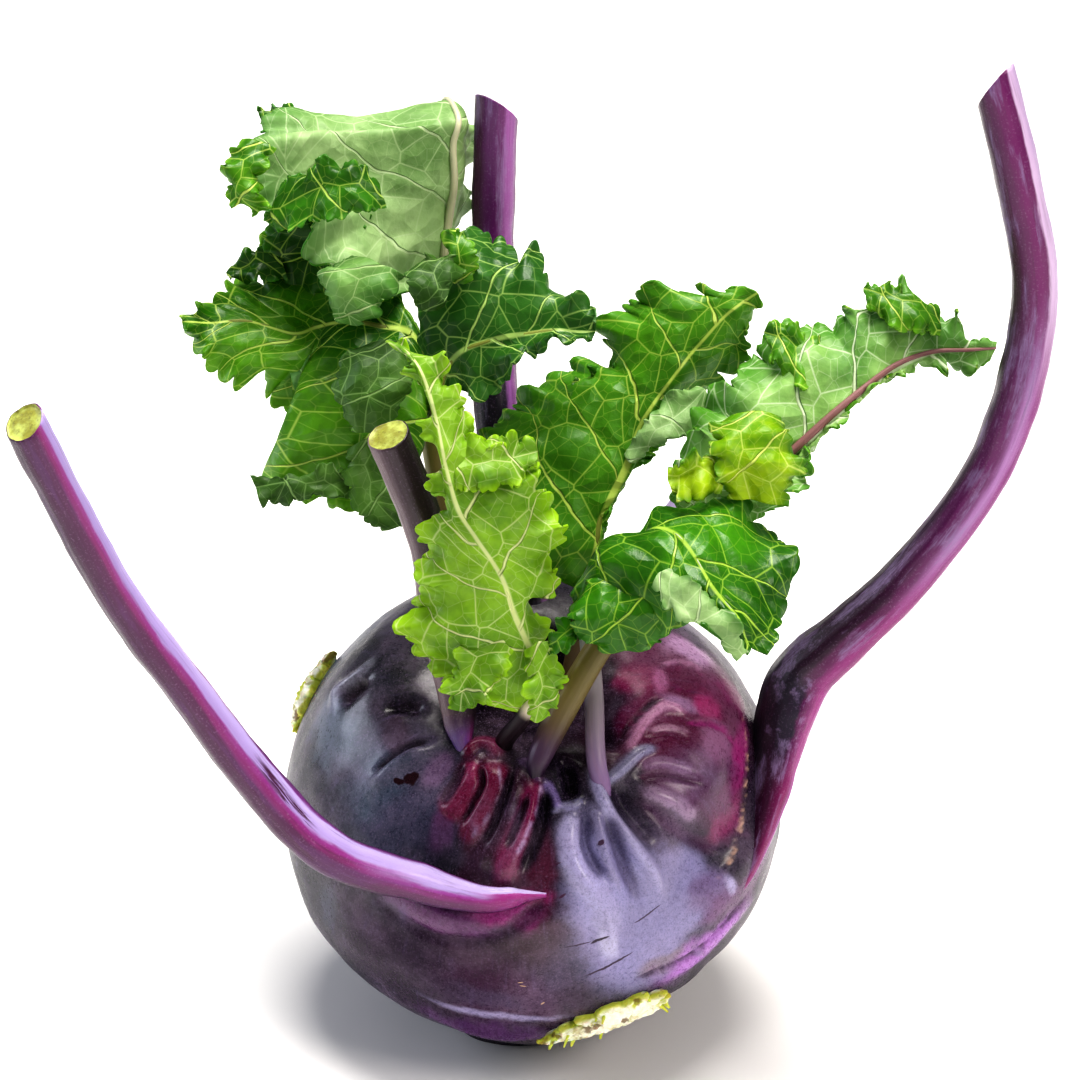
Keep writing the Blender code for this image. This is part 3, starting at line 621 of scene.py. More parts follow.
# ------------------------------------------------------------- the stalks
# Along each stalk: (centre, half width, half thickness). "broad" is the way it
# is broad, and the end is cut off at "cut", facing "facing".
STALKS = {
    "stalk_left": {
        "line": [
            ((2.5, -36.9, 43.3), 0.5, 0.4),
            ((-1, -37.5, 43.5), 1.2, 0.9),
            ((-3.5, -37.9, 43.4), 2.0, 1.5),
            ((-9, -38.2, 43.5), 2.7, 2.1),
            ((-19, -38.4, 46.5), 3.5, 3.1),
            ((-34, -42, 54.5), 3.9, 3.8),
            ((-46, -43, 69), 3.9, 3.7),
            ((-57, -46, 88), 3.5, 3.4),
            ((-68, -51, 109), 3.4, 3.3),
            ((-80, -61, 144), 3.4, 3.3),
        ],
        "broad": (0.1, -0.2, 1.0),
        "cut": (-78.5, -60, 140),
        "facing": (-0.42, -0.52, 0.74),
    },
    "stalk_right": {
        "line": [
            ((35, -21, 33), 0.9, 0.7),
            ((39, -16, 40), 3.0, 2.0),
            ((42, -9, 48), 5.0, 3.4),
            ((44, -3, 56), 7.2, 4.6),
            ((46, -1, 63), 7.2, 5.4),
            ((49, -1, 69), 6.0, 5.3),
            ((54, -3, 75), 5.2, 5.0),
            ((65, -5, 88), 4.4, 4.3),
            ((76, -8, 106), 4.2, 4.0),
            ((82, -10, 124), 4.2, 4.1),
            ((84, -11, 144), 4.1, 3.9),
            ((80, -13, 164), 4.0, 3.9),
            ((74, -14, 185), 3.9, 3.8),
        ],
        "broad": (0.2, -1.0, 0.1),
        "cut": (75.5, -13.5, 180.0),
        "facing": (-0.72, 0.40, 0.57),
    },
    "stalk_rear": {
        "line": [
            ((3, 2, 62), 4.6, 4.2),
            ((-2, 14, 84), 4.2, 4.0),
            ((-6, 25, 104), 4.0, 3.9),
            ((-7, 32, 122), 3.9, 3.8),
            ((-7, 35, 139), 3.8, 3.7),
            ((-6, 35, 167), 3.8, 3.7),
        ],
        "broad": (1, 0, 0),
        "cut": (-5.5, 35, 160.5),
        "facing": (0.46, 0.46, 0.76),
    },
    "stalk_short": {
        "line": [
            ((-11.2, -22, 61.5), 0.6, 0.5),
            ((-12, -20.5, 64.5), 1.7, 1.4),
            ((-12.5, -19, 67), 2.6, 2.3),
            ((-13, -17, 71), 3.1, 2.9),
            ((-16, -14, 86), 3.4, 3.3),
            ((-18, -14, 101), 3.5, 3.4),
            ((-25, -13, 121), 3.7, 3.6),
        ],
        "broad": (1, 0, 0),
        "cut": (-25, -14, 118),
        "facing": (-0.3, -0.3, 0.9),
    },
    "stalk_right_rear": {
        "line": [
            ((15, 4, 60), 4.6, 3.8),
            ((16, 7, 66), 4.1, 3.7),
            ((21, 18, 76), 3.8, 3.7),
            ((27, 26, 86), 3.6, 3.6),
            ((41, 33, 100), 3.2, 3.2),
        ],
        "broad": (0, 0, 1),
        "cut": (40, 32.5, 99),
        "facing": (0.6, 0.25, 0.75),
    },
}
GROOVE = 0.10  # depth of the groove along a stalk, as a share of its thickness
STALK_ROUND, STALK_LONG = 48, 220  # faces round a stalk and along it
# (share of the way out from the middle, height) of each ring of a cut end, from its rim in
CUT_RINGS = [(0.97, 0.12), (0.93, 0.15), (0.89, 0.05), (0.85, -0.10), (0.6, 0.0), (0.3, 0.05)]


def make_stalk(name, finish, flesh, slot):
    stalk = STALKS[name]
    shape, across, along = grid_sheet(STALK_ROUND, STALK_LONG)
    centres = [row[0] for row in stalk["line"]]
    half = through([row[1:] for row in stalk["line"]], along)
    turn = across * math.tau
    ahead = way_along(centres, along, 0.01)
    thick = unit(np.cross(ahead, stalk["broad"]))
    wide = unit(np.cross(thick, ahead))
    groove = 1 - GROOVE * np.exp(-(((turn - math.pi / 2) / 0.5) ** 2))
    ridges = 1 + 0.012 * np.cos(9 * turn) + 0.006 * np.cos(17 * turn + 1)
    out = wide * (half[:, 0] * np.cos(turn) * ridges)[:, None]
    out += thick * (half[:, 1] * groove * ridges * np.sin(turn))[:, None]
    middle = through(centres, along)
    seed = len(name)
    lump = wander(middle + out, 6.0, seed) * 0.22 + wander(middle + out, 2.0, seed) * 0.05
    move_to(shape, middle + out * (1 + lump / np.maximum(half[:, 1], 1.0))[:, None])
    length = np.linalg.norm(np.diff(through(centres, np.linspace(0, 1, 60)), axis=0), axis=1).sum()
    lay_uv(shape, "skin", across, along * length * MM)
    bmesh.ops.remove_doubles(shape, verts=shape.verts, dist=0.02)
    where, facing = Vector(stalk["cut"]), Vector(stalk["facing"]).normalized()
    cut_off(shape, where, facing)
    cap_end(shape, where, facing)
    bmesh.ops.holes_fill(shape, edges=shape.edges, sides=0)
    bmesh.ops.recalc_face_normals(shape, faces=shape.faces)
    return add_piece(name + "_skin", shape, [finish, flesh], slot, name)


def cap_end(shape, where, facing):
    """Close the cut end with a rounded rim and a slightly sunken face of cut flesh."""
    rim = [edge for edge in shape.edges if edge.is_boundary
           and all(abs((vert.co - where).dot(facing)) < 0.01 for vert in edge.verts)]
    middle = sum((edge.verts[0].co for edge in rim), Vector()) / len(rim)
    before = 1.0
    for k, (out, height) in enumerate(CUT_RINGS):
        made = bmesh.ops.extrude_edge_only(shape, edges=rim)["geom"]
        for item in made:
            if isinstance(item, bmesh.types.BMVert):
                level = (item.co - where).dot(facing)
                item.co = middle + (item.co - middle) * (out / before) + facing * (height - level)
            elif isinstance(item, bmesh.types.BMFace) and k > 1:
                item.material_index = 1
        before = out
        rim = [item for item in made if isinstance(item, bmesh.types.BMEdge) and item.is_boundary]
    face = bmesh.ops.contextual_create(shape, geom=rim)["faces"][0]
    face.material_index = 1


def stalk_skin(name, turned, zones, bloom, marks=None):
    """Stalk skin in bands that run along it, broken up by streaks, under a patchy pale bloom. The bands hold
    painted highlights and painted shade on its sides as well as its own colours.

    turned brings the middle of the bands to 0.5, and zones has the bands of each length of the stalk
    from the bulb out. bloom is (from, to, share, colour) of the bloom across the bands, and marks is
    (metres from, to, from, to across the bands, colour) of ragged marks.
    """
    made, node, where = new_material(name)
    place = node("UVMap", uv_map="skin")
    across = node("SeparateXYZ", place)
    along = across.node.outputs[1]
    fibres = streaky(node, place, 30.0, 60.0, 5.0, 0.62)
    fine = streaky(node, place, 120.0, 400.0, 4.0, 0.7)
    patches = streaky(node, place, 7.0, 70.0, 5.0, 0.62)
    grain, = lumps(node, where, (2600.0, 2.0, 0.6))
    uneven = node("Math", patches, 0.5, operation="SUBTRACT")
    across = node("Math", uneven, 0.10, across, operation="MULTIPLY_ADD")
    across = node("Math", node("Math", across, turned, operation="ADD"), operation="FRACT")
    start, paint = None, None
    for end, stops in zones:
        band = node("ValToRGB", across)
        ramp = band.node.color_ramp
        ramp.interpolation = "EASE"
        while len(ramp.elements) < len(stops):
            ramp.elements.new(0.5)
        for element, (spot, shade) in zip(ramp.elements, stops):
            element.position = spot
            element.color = colour(shade)
        paint = wash(node, paint, along, start - 0.009, start + 0.009, 1.0, band) if paint else band
        start = end
    paint = wash(node, paint, fibres, 0.50, 0.75, 0.45, "3a1038")
    start, end, amount, shade = bloom
    waxy = together(node, (across, start - 0.03, start + 0.03), (across, end + 0.03, end - 0.03),
                    (patches, 0.50, 0.60), (fine, 0.35, 0.60, 0.35, 1.0))
    share = node("Math", waxy, amount, operation="MULTIPLY")
    paint = node("Mix", share, paint, colour(shade), **PAINT)
    if marks:
        near, far, start, end, shade = marks
        here = together(node, (along, near, near + 0.004), (along, far, far - 0.004),
                        (across, start, start + 0.03), (across, end, end - 0.03), (fibres, 0.46, 0.52))
        paint = node("Mix", here, paint, colour(shade), **PAINT)
    dull = node("Math", waxy, fine, operation="ADD")
    height = node("Math", fine, 0.35, fibres, operation="MULTIPLY_ADD")
    return dress(made, {
        "Base Color": wash(node, paint, grain, 0.55, 0.75, 0.14, "c8a8d0"),
        "Roughness": node("MapRange", dull, 0.3, 1.4, 0.28, 0.50, **SMOOTH),
        "Coat Weight": 0.2,
        "Coat Roughness": 0.25,
        "Normal": node("Bump", Height=height, Strength=0.5, Distance=0.3 * MM),
    })


def cut_flesh():
    """Wet yellow-green flesh of a cut stalk."""
    made, node, where = new_material("cut flesh")
    cloudy, dots = lumps(node, where, (400.0, 3.0, 0.55), (1500.0, 3.0, 0.55))
    paint = wash(node, colour("8f8f3a"), cloudy, 0.35, 0.65, 1.0, "b9c46a")
    return dress(made, {
        "Base Color": wash(node, paint, dots, 0.55, 0.70, 0.6, "6d6a2a"),
        "Roughness": 0.45,
        "Normal": node("Bump", Height=dots, Strength=0.5, Distance=0.3 * MM),
    })


# ------------------------------------------------------------- the leaves
# "stem" runs from the bulb to the blade, with its radius. "rib", "left" and
# "right" have one point for each station of the blade, from stem to tip, the
# sides being named as seen from above the leaf, and "fullness" says how far
# each half bulges upwards.
LEAVES = {
    "leaf_back": {
        "stem": [((-4, 6, 58), 2.4), ((-5, 12, 68), 2.2), ((-11, 23, 87), 2.1),
                 ((-15, 31, 109), 2.0), ((-16, 34, 125), 1.8)],
        "rib": [(-16, 34, 129), (-16, 34, 135), (-15, 34, 142), (-14, 33, 148), (-14, 33, 155),
                (-13, 34, 159), (-15, 42, 160), (-17, 51, 155), (-21, 53, 149), (-27, 53, 144)],
        "left": [(-15, 34, 130), (-13, 39, 134), (-12, 42, 141), (-11, 44, 146), (-10, 46, 150),
                 (-11, 46, 152), (-12, 52, 151), (-14, 56, 149), (-17, 57, 147), (-25, 54, 143)],
        "right": [(-17, 30, 130), (-34, 12, 132), (-37, 15, 140), (-46, 19, 147), (-52, 23, 155),
                  (-50, 29, 158), (-44, 42, 158), (-42, 50, 151), (-37, 51, 145), (-29, 53, 144)],
        "fullness": (0.0, 0.07),
    },
    "leaf_left": {
        "stem": [((-9, -2, 60), 2.5), ((-9, 2, 69), 2.2), ((-13, 8, 84), 2.1),
                 ((-17, 14, 102), 2.0), ((-18, 16, 114), 1.8)],
        "rib": [(-17, 17, 117), (-21, 19, 124), (-26, 21, 125), (-32, 21, 126), (-38, 21, 125),
                (-42, 18, 125), (-50, 19, 127), (-56, 18, 127), (-61, 16, 128)],
        "left": [(-17, 17, 116), (-23, 3, 96), (-33, 6, 96), (-48, 11, 100), (-42, 16, 109),
                 (-51, 15, 113), (-56, 15, 118), (-60, 16, 123), (-61, 15, 127)],
        "right": [(-18, 18, 118), (-22, 25, 129), (-29, 34, 138), (-38, 38, 142), (-46, 36, 139),
                  (-52, 29, 134), (-56, 23, 131), (-60, 19, 130), (-61, 16, 129)],
        "fullness": (0.18, 0.0),
    },
    "leaf_middle": {
        "stem": [((-2, -9, 59), 2.4), ((-3, -7, 68), 2.2), ((-8, -3, 84), 2.1),
                 ((-13, 4, 103), 1.9), ((-16, 9, 114), 1.8)],
        "rib": [(-16, 10, 119), (-14, 10, 123), (-11, 9, 126), (-5, 9, 128), (-1, 8, 129),
                (4, 7, 130), (8, 6, 130), (11, 6, 130)],
        "left": [(-17, 10, 119), (-20, 14, 127), (-16, 18, 138), (-9, 22, 143), (0, 21, 140),
                 (5, 13, 136), (10, 9, 135), (11, 6, 132)],
        "right": [(-15, 10, 118), (-12, 8, 117), (-8, 6, 117), (-3, 4, 123), (0, 3, 127),
                  (5, 3, 129), (9, 3, 129), (10, 4, 129)],
        "fullness": (0.18, 0.0),
    },
    "leaf_front": {
        "stem": [((-5.5, -19.5, 60), 1.7), ((-4.5, -21, 65), 1.6), ((-2, -24, 70), 1.5),
                 ((0, -26, 74), 1.4)],
        "rib": [(2, -25, 77), (0, -27, 84), (-3, -28, 92), (-5, -28, 99), (-9, -28, 106),
                (-12, -27, 111), (-14, -26, 118), (-16, -23, 127), (-19, -19, 134),
                (-23, -13, 135)],
        "left": [(-1, -25, 72), (-13, -27, 77), (-22, -25, 86), (-20, -23, 95), (-19, -23, 104),
                 (-16, -24, 111), (-16, -23, 118), (-18, -21, 128), (-21, -17, 134),
                 (-24, -13, 135)],
        "right": [(3, -20, 77), (3, -22, 84), (2, -22, 92), (5, -23, 101), (5, -21, 109),
                  (2, -20, 117), (-7, -21, 121), (-12, -19, 129), (-15, -17, 133),
                  (-22, -13, 135)],
        "fullness": (0.13, 0.05),
    },
    "leaf_centre": {
        "stem": [((6, -8, 56), 2.2), ((6, -6, 64), 2.0), ((8, -5, 75), 1.9), ((9, -5, 84), 1.8)],
        "rib": [(9, -5, 87), (11, -4, 94), (12, -2, 99), (16, 1, 107), (19, 4, 114),
                (24, 6, 121), (29, 8, 127), (34, 10, 132), (39, 12, 135)],
        "left": [(8, -4, 86), (-1, -3, 91), (-8, 4, 98), (-7, 14, 111), (1, 17, 116),
                 (11, 19, 122), (15, 19, 131), (24, 16, 134), (37, 12, 136)],
        "right": [(10, -4, 87), (12, -4, 94), (15, -1, 101), (19, 3, 107), (27, 9, 110),
                  (31, 12, 115), (39, 12, 121), (37, 12, 126), (40, 12, 133)],
        "fullness": (0.15, 0.0),
    },
    "leaf_right": {
        "stem": [((1, -26.4, 58.5), 0.9), ((0.8, -26, 61.4), 1.5), ((1.6, -24.9, 64.2), 2.1),
                 ((4.8, -21.8, 70), 2.4), ((12, -20, 83), 2.3), ((20, -17, 92), 2.1), ((28, -14, 98), 1.9)],
        "rib": [(29, -14, 100), (35, -10, 106), (41, -8, 110), (47, -6, 115), (52, -4, 119),
                (58, -1, 123), (63, 1, 126), (69, 4, 127), (75, 5, 127), (80, 6, 127)],
        "left": [(30, -14, 99), (43, -14, 106), (48, -11, 110), (48, -8, 113), (54, -4, 118),
                 (59, -2, 122), (64, 1, 124), (70, 4, 124), (75, 4, 122), (79, 5, 125)],
        "right": [(28, -14, 100), (23, -13, 109), (27, -5, 117), (31, 2, 122), (42, 9, 129),
                  (53, 10, 131), (58, 13, 136), (68, 11, 134), (75, 7, 130), (80, 6, 128)],
        "fullness": (-0.06, -0.17),
    },
    "leaf_low_right": {
        "stem": [((12.8, -26.6, 56.2), 0.9), ((12.2, -26.7, 59.2), 1.4), ((11.3, -25.6, 62.3), 1.7),
                 ((10.9, -23, 66), 1.7), ((10.8, -19.2, 70.5), 1.7), ((10.4, -14.8, 76), 1.7),
                 ((10, -13, 86), 1.7), ((14, -16, 97), 1.6)],
        "rib": [(17, -17, 100), (20, -22, 105), (24, -26, 106), (27, -30, 104), (30, -34, 100),
                (34, -37, 96), (36, -38, 91)],
        "left": [(18, -16, 101), (22, -16, 106), (30, -15, 108), (39, -16, 106), (44, -23, 100),
                 (43, -31, 93), (39, -37, 89)],
        "right": [(16, -17, 99), (8, -20, 95), (8, -24, 89), (18, -29, 87), (27, -35, 94),
                  (32, -38, 92), (36, -39, 90)],
        "fullness": (0.0, 0.20),
    },
}
RIB_TAPER = 0.75
BLADE = 0.45  # thickness of a blade
ROWS, COLUMNS = 230, 76  # faces along a blade and across it
RIB_ROUND, RIB_LONG = 20, 180  # faces round a rib and along it
# How each blade is frilled, in millimetres: (length and depth of the small lobes of its edge, height
# of its curls, number and height of its broad ruffles, notches as (side, t, half length, depth))
FRILLS = {
    "leaf_back": (7.5, 3.2, 1.7, 6, 1.4, [(1, 0.30, 0.02, 5), (1, 0.52, 0.03, 6)]),
    "leaf_left": (8.0, 3.6, 1.7, 6, 1.6,
                  [(-1, 0.50, 0.02, 7), (-1, 0.62, 0.02, 6), (1, 0.42, 0.02, 6), (1, 0.60, 0.02, 5)]),
    "leaf_middle": (7.5, 2.6, 1.5, 5, 1.3, [(-1, 0.55, 0.02, 4)]),
    "leaf_front": (4.6, 3.0, 2.1, 8, 1.5, [(-1, 0.35, 0.015, 4), (1, 0.52, 0.02, 4)]),
    "leaf_centre": (5.4, 3.0, 1.6, 6, 1.3, [(-1, 0.62, 0.02, 4), (1, 0.70, 0.02, 4)]),
    "leaf_right": (5.0, 2.8, 2.2, 8, 1.8, [(1, 0.35, 0.02, 4), (1, 0.62, 0.02, 4), (-1, 0.5, 0.02, 3)]),
    "leaf_low_right": (9.0, 1.8, 1.2, 4, 1.1, [(-1, 0.5, 0.02, 2.5)]),
}
# Lobes that curl out of their leaf's sheet, in the same three lines: (leaf, rib, left, right)
LOBES = {
    "back_shade": ("leaf_back", [(-33, 29, 145), (-36, 29, 139), (-39, 28, 135), (-41, 27, 129)],
                   [(-28, 27, 144), (-30, 26, 138), (-32, 26, 132), (-39, 26, 128)],
                   [(-41, 30, 148), (-47, 30, 143), (-47, 29, 137), (-44, 27, 129)]),
    "back_fringe": ("leaf_back", [(-41, 45, 154), (-44, 45, 155), (-46, 45, 156), (-49, 46, 157)],
                    [(-42, 44, 153), (-44, 43, 153), (-46, 43, 154), (-48, 45, 155)],
                    [(-41, 47, 155), (-44, 47, 158), (-46, 47, 157), (-49, 46, 157)]),
    "back_curl": ("leaf_back", [(-47, 22, 159), (-49, 18, 156), (-50, 16, 152), (-47, 17, 148)],
                  [(-44, 21, 158), (-46, 19, 155), (-46, 17, 151), (-45, 17, 149)],
                  [(-50, 23, 159), (-53, 20, 155), (-52, 18, 151), (-48, 17, 147)]),
    "back_patch": ("leaf_back", [(-26, 17, 151), (-31, 15, 153), (-37, 16, 152), (-45, 17, 148)],
                   [(-25, 16, 149), (-31, 14, 148), (-37, 14, 147), (-44, 17, 144)],
                   [(-27, 19, 153), (-31, 19, 156), (-37, 19, 156), (-43, 20, 152)]),
    "back_hem": ("leaf_back", [(-26, 12, 140), (-29, 9, 138), (-31, 8, 134), (-31, 9, 130)],
                 [(-22, 12, 138), (-25, 10, 134), (-26, 9, 132), (-29, 9, 130)],
                 [(-31, 14, 141), (-37, 11, 139), (-35, 10, 134), (-33, 9, 131)]),
    "left_round": ("leaf_left", [(-44, 27, 135), (-48, 27, 135), (-50, 27, 134), (-54, 27, 133)],
                   [(-43, 26, 132), (-47, 25, 132), (-50, 25, 132), (-53, 26, 132)],
                   [(-44, 29, 137), (-48, 29, 137), (-51, 29, 137), (-53, 28, 134)]),
    "left_curl": ("leaf_left", [(-25, 10, 127), (-26, 5, 123), (-28, 2, 118), (-29, 2, 113)],
                  [(-22, 10, 126), (-20, 6, 121), (-22, 4, 117), (-27, 3, 113)],
                  [(-29, 9, 126), (-34, 7, 123), (-34, 5, 118), (-31, 2, 113)]),
    "left_tail": ("leaf_left", [(-32, 4, 103), (-37, 2, 103), (-42, 2, 103), (-48, 3, 102)],
                  [(-32, 3, 100), (-37, 1, 101), (-43, 2, 99), (-47, 1, 99)],
                  [(-33, 5, 105), (-37, 4, 106), (-42, 4, 104), (-49, 4, 104)]),
    "left_foot": ("leaf_left", [(-29, 6, 110), (-28, 3, 105), (-27, 1, 101), (-23, 0, 96)],
                  [(-26, 6, 109), (-24, 4, 105), (-23, 2, 101), (-22, 0, 96)],
                  [(-32, 6, 108), (-33, 3, 104), (-31, 0, 99), (-26, 0, 95)]),
    "middle_flap": ("leaf_middle", [(-18, 8, 133), (-17, 7, 137), (-17, 10, 140), (-16, 12, 141)],
                    [(-20, 8, 134), (-21, 8, 137), (-22, 11, 140), (-18, 12, 142)],
                    [(-15, 8, 134), (-14, 8, 137), (-11, 11, 139), (-13, 12, 142)]),
    "middle_cup": ("leaf_middle", [(-13, 13, 136), (-13, 12, 140), (-13, 13, 143), (-13, 16, 145)],
                   [(-14, 13, 137), (-15, 13, 140), (-15, 14, 143), (-14, 16, 145)],
                   [(-10, 12, 137), (-9, 12, 140), (-10, 14, 143), (-13, 16, 145)]),
    "centre_fold": ("leaf_centre", [(17, 0, 108), (21, 0, 114), (26, 2, 117), (30, 4, 120)],
                    [(16, 2, 109), (20, 3, 115), (24, 5, 118), (28, 6, 120)],
                    [(18, 0, 108), (23, -1, 112), (27, 0, 113), (31, 3, 117)]),
    "centre_side": ("leaf_centre", [(19, 11, 117), (15, 12, 118), (11, 12, 118), (7, 12, 118)],
                    [(19, 9, 114), (15, 10, 115), (11, 10, 115), (8, 11, 117)],
                    [(19, 13, 120), (14, 14, 121), (10, 14, 119), (8, 13, 119)]),
    "front_frill": ("leaf_front", [(-14, -24, 119), (-9, -25, 119), (-5, -24, 119), (1, -21, 119)],
                    [(-14, -21, 122), (-9, -22, 122), (-5, -21, 122), (0, -20, 121)],
                    [(-14, -26, 114), (-9, -27, 114), (-4, -26, 114), (1, -23, 117)]),
    "front_skirt": ("leaf_front", [(-5, -29, 88), (-9, -30, 84), (-11, -31, 80), (-12, -30, 75)],
                    [(-3, -29, 86), (-5, -31, 81), (-8, -31, 77), (-11, -30, 75)],
                    [(-9, -27, 88), (-13, -29, 85), (-14, -30, 80), (-14, -30, 76)]),
    "front_hem": ("leaf_front", [(1, -30, 88), (2, -31, 84), (2, -32, 80), (1, -32, 74)],
                  [(4, -29, 88), (6, -30, 84), (5, -31, 79), (3, -31, 75)],
                  [(-1, -29, 86), (-1, -31, 82), (-1, -32, 79), (0, -31, 74)]),
    "right_ruffle": ("leaf_right", [(37, -11, 122), (36, -16, 119), (36, -18, 115), (37, -18, 109)],
                     [(42, -11, 121), (44, -14, 118), (46, -16, 114), (43, -18, 108)],
                     [(32, -11, 120), (30, -14, 118), (31, -17, 114), (33, -18, 109)]),
    "right_tip": ("leaf_right", [(32, -16, 113), (29, -17, 114), (26, -17, 113), (23, -17, 112)],
                  [(32, -18, 110), (29, -19, 109), (26, -19, 109), (24, -18, 110)],
                  [(32, -14, 115), (29, -15, 116), (26, -16, 115), (23, -16, 114)]),
    "right_crest": ("leaf_right", [(70, 6, 132), (66, 5, 135), (61, 6, 136), (57, 8, 137)],
                    [(70, 4, 130), (65, 2, 131), (61, 3, 132), (58, 6, 135)],
                    [(70, 8, 134), (66, 8, 136), (61, 9, 137), (58, 9, 138)]),
    "right_side": ("leaf_right", [(52, 3, 125), (47, 2, 127), (44, 3, 129), (40, 5, 130)],
                   [(51, 1, 122), (47, -2, 122), (43, -1, 124), (41, 3, 128)],
                   [(51, 6, 129), (47, 5, 130), (44, 6, 132), (41, 6, 132)]),
    "low_fold": ("leaf_low_right", [(21, -33, 102), (25, -38, 99), (30, -41, 95), (35, -41, 91)],
                 [(23, -33, 103), (28, -36, 101), (33, -39, 97), (36, -40, 91)],
                 [(20, -34, 100), (24, -39, 96), (28, -40, 96), (34, -41, 90)]),
    "low_cup": ("leaf_low_right", [(17, -24, 99), (15, -30, 96), (15, -32, 92), (16, -31, 87)],
                [(21, -25, 99), (24, -30, 96), (24, -31, 92), (20, -31, 87)],
                [(10, -25, 97), (6, -29, 95), (7, -32, 91), (12, -31, 87)]),
    "low_leaflet": ("leaf_low_right", [(11, -28, 90), (8, -30, 90), (5, -31, 89), (3, -30, 86)],
                    [(11, -29, 89), (8, -32, 89), (6, -32, 87), (3, -31, 86)],
                    [(11, -27, 91), (7, -28, 92), (4, -29, 90), (2, -29, 87)]),
}
LOBE_FULLNESS = (0.12, 0.12)
LOBE_FRILL = (5.0, 1.6, 1.0, 2, 0.7, [])
RUFFLE_FRILL = (3.4, 1.9, 1.6, 3, 1.0, [])
LOBE_ROWS, LOBE_COLUMNS = 90, 44
LOBE_ASIDE = 25.0  # how far from the leaf's rib the veins of a lobe are drawn


def blade_points(leaf, t, s):
    """Points of a blade, t along the rib and s across it (-1 left edge, 1 right edge)."""
    left, rib, right = (through(leaf[line], t) for line in ("left", "rib", "right"))
    front = unit(np.cross(right - left, way_along(leaf["rib"], t, 0.01)))
    rows = [left, rib, right]
    for place, side, full in zip((1, 3), (left, right), leaf["fullness"]):
        reach = np.linalg.norm(side - rib, axis=-1, keepdims=True)
        rows.insert(place, (side + rib) / 2 + front * full * reach)
    return through_rows(np.stack(rows), (s + 1) / 2)


def walk(line, t):
    """How far along a line each t is, in millimetres."""
    steps = np.linspace(0, 1, 200)
    gone = np.linalg.norm(np.diff(through(line, steps), axis=0), axis=1)
    return np.interp(t, steps, np.concatenate([[0], np.cumsum(gone)]))


def make_blade(name, leaf, frill, upper, under, slot, node, columns=COLUMNS, rows=ROWS, aside=0.0):
    """A frilled sheet between the three lines of a leaf, or of a lobe that lies aside from the rib."""
    seed = sum(ord(letter) for letter in name)
    lobe, depth, curl, ruffles, ruffle, notches = frill
    shape, across, t = grid_sheet(columns, rows)
    s = across * 2 - 1
    side, share = np.sign(s), np.abs(s)
    # the margin is bitten into rounded lobes, uneven in depth and length
    edge = np.where(s < 0, walk(leaf["left"], t), walk(leaf["right"], t)) / lobe
    flat = np.stack([edge, side * 3, 0 * t], -1)
    uneven = np.clip(0.8 + 0.9 * wander(flat, 1.6, seed + 3), 0.2, 1.5)
    phase = math.pi * (edge + 0.5 * wander(flat, 1.3, seed + 2)) + seed
    bite = depth * uneven * (1 - np.abs(np.sin(phase)) ** 0.5)
    bite += 0.4 * depth * (1 - np.abs(np.sin(2.7 * phase + side)) ** 0.6)
    for where, at, half, deep in notches:
        bite += np.where(side == where, deep * np.exp(-(((t - at) / half) ** 2)), 0)
    width = np.linalg.norm(blade_points(leaf, t, side) - blade_points(leaf, t, 0 * t), axis=-1)
    bite *= soft(t, 0.02, 0.12) * (1 - soft(t, 0.93, 1.0)) / np.maximum(width, 1)
    s = s * (1 - np.minimum(bite, 0.45) * share)
    # the sheet is lifted off its smooth form in ruffles, curls and bumps that grow towards the margin
    points = blade_points(leaf, t, s)
    step = 0.004
    ahead = blade_points(leaf, np.minimum(t + step, 1), s) - blade_points(leaf, np.maximum(t - step, 0), s)
    over = blade_points(leaf, t, np.minimum(s + step, 1)) - blade_points(leaf, t, np.maximum(s - step, -1))
    ease = soft(t, 0.03, 0.2) * (1 - 0.5 * soft(t, 0.85, 1.0))
    lift = ruffle * ease * np.sin(math.tau * ruffles * t + seed * 1.7 + 2 * side) * share**2
    lift += curl * uneven * ease * (0.8 * np.sin(phase) + 0.5 * np.sin(2.1 * phase + side)) * share**4
    lift += 0.25 * curl * ease * np.sin(4.3 * phase + 1) * share**9
    lift += wander(points, 9.0, seed) * 0.9 * ease * share + wander(points, 4.0, seed) * 0.35
    sway = unit(ahead) * (-0.25 * curl * ease * np.sin(2 * phase) * share**6)[:, None]
    move_to(shape, points + unit(np.cross(over, ahead)) * lift[:, None] + sway)
    lay_uv(shape, "flat", (s * width + aside) * MM, walk(leaf["rib"], t) * MM)
    lay_uv(shape, "shares", s * 0.5 + 0.5, t)
    blade = add_piece(name + "_blade", shape, [upper, under], slot, node)
    sheet = blade.modifiers.new("thickness", "SOLIDIFY")
    sheet.thickness = BLADE * MM
    sheet.offset = 0.0
    sheet.material_offset = 1
    return blade


def make_leaf(name, upper, under, stem, slot):
    make_blade(name, LEAVES[name], FRILLS[name], upper, under, slot, name)
    make_rib(name, LEAVES[name], stem, slot)


def make_lobe(name, frill, upper, under, slot):
    node, rib, left, right = LOBES[name]
    lines = {"rib": rib, "left": left, "right": right, "fullness": LOBE_FULLNESS}
    make_blade(name, lines, frill, upper, under, slot, node, LOBE_COLUMNS, LOBE_ROWS, LOBE_ASIDE)


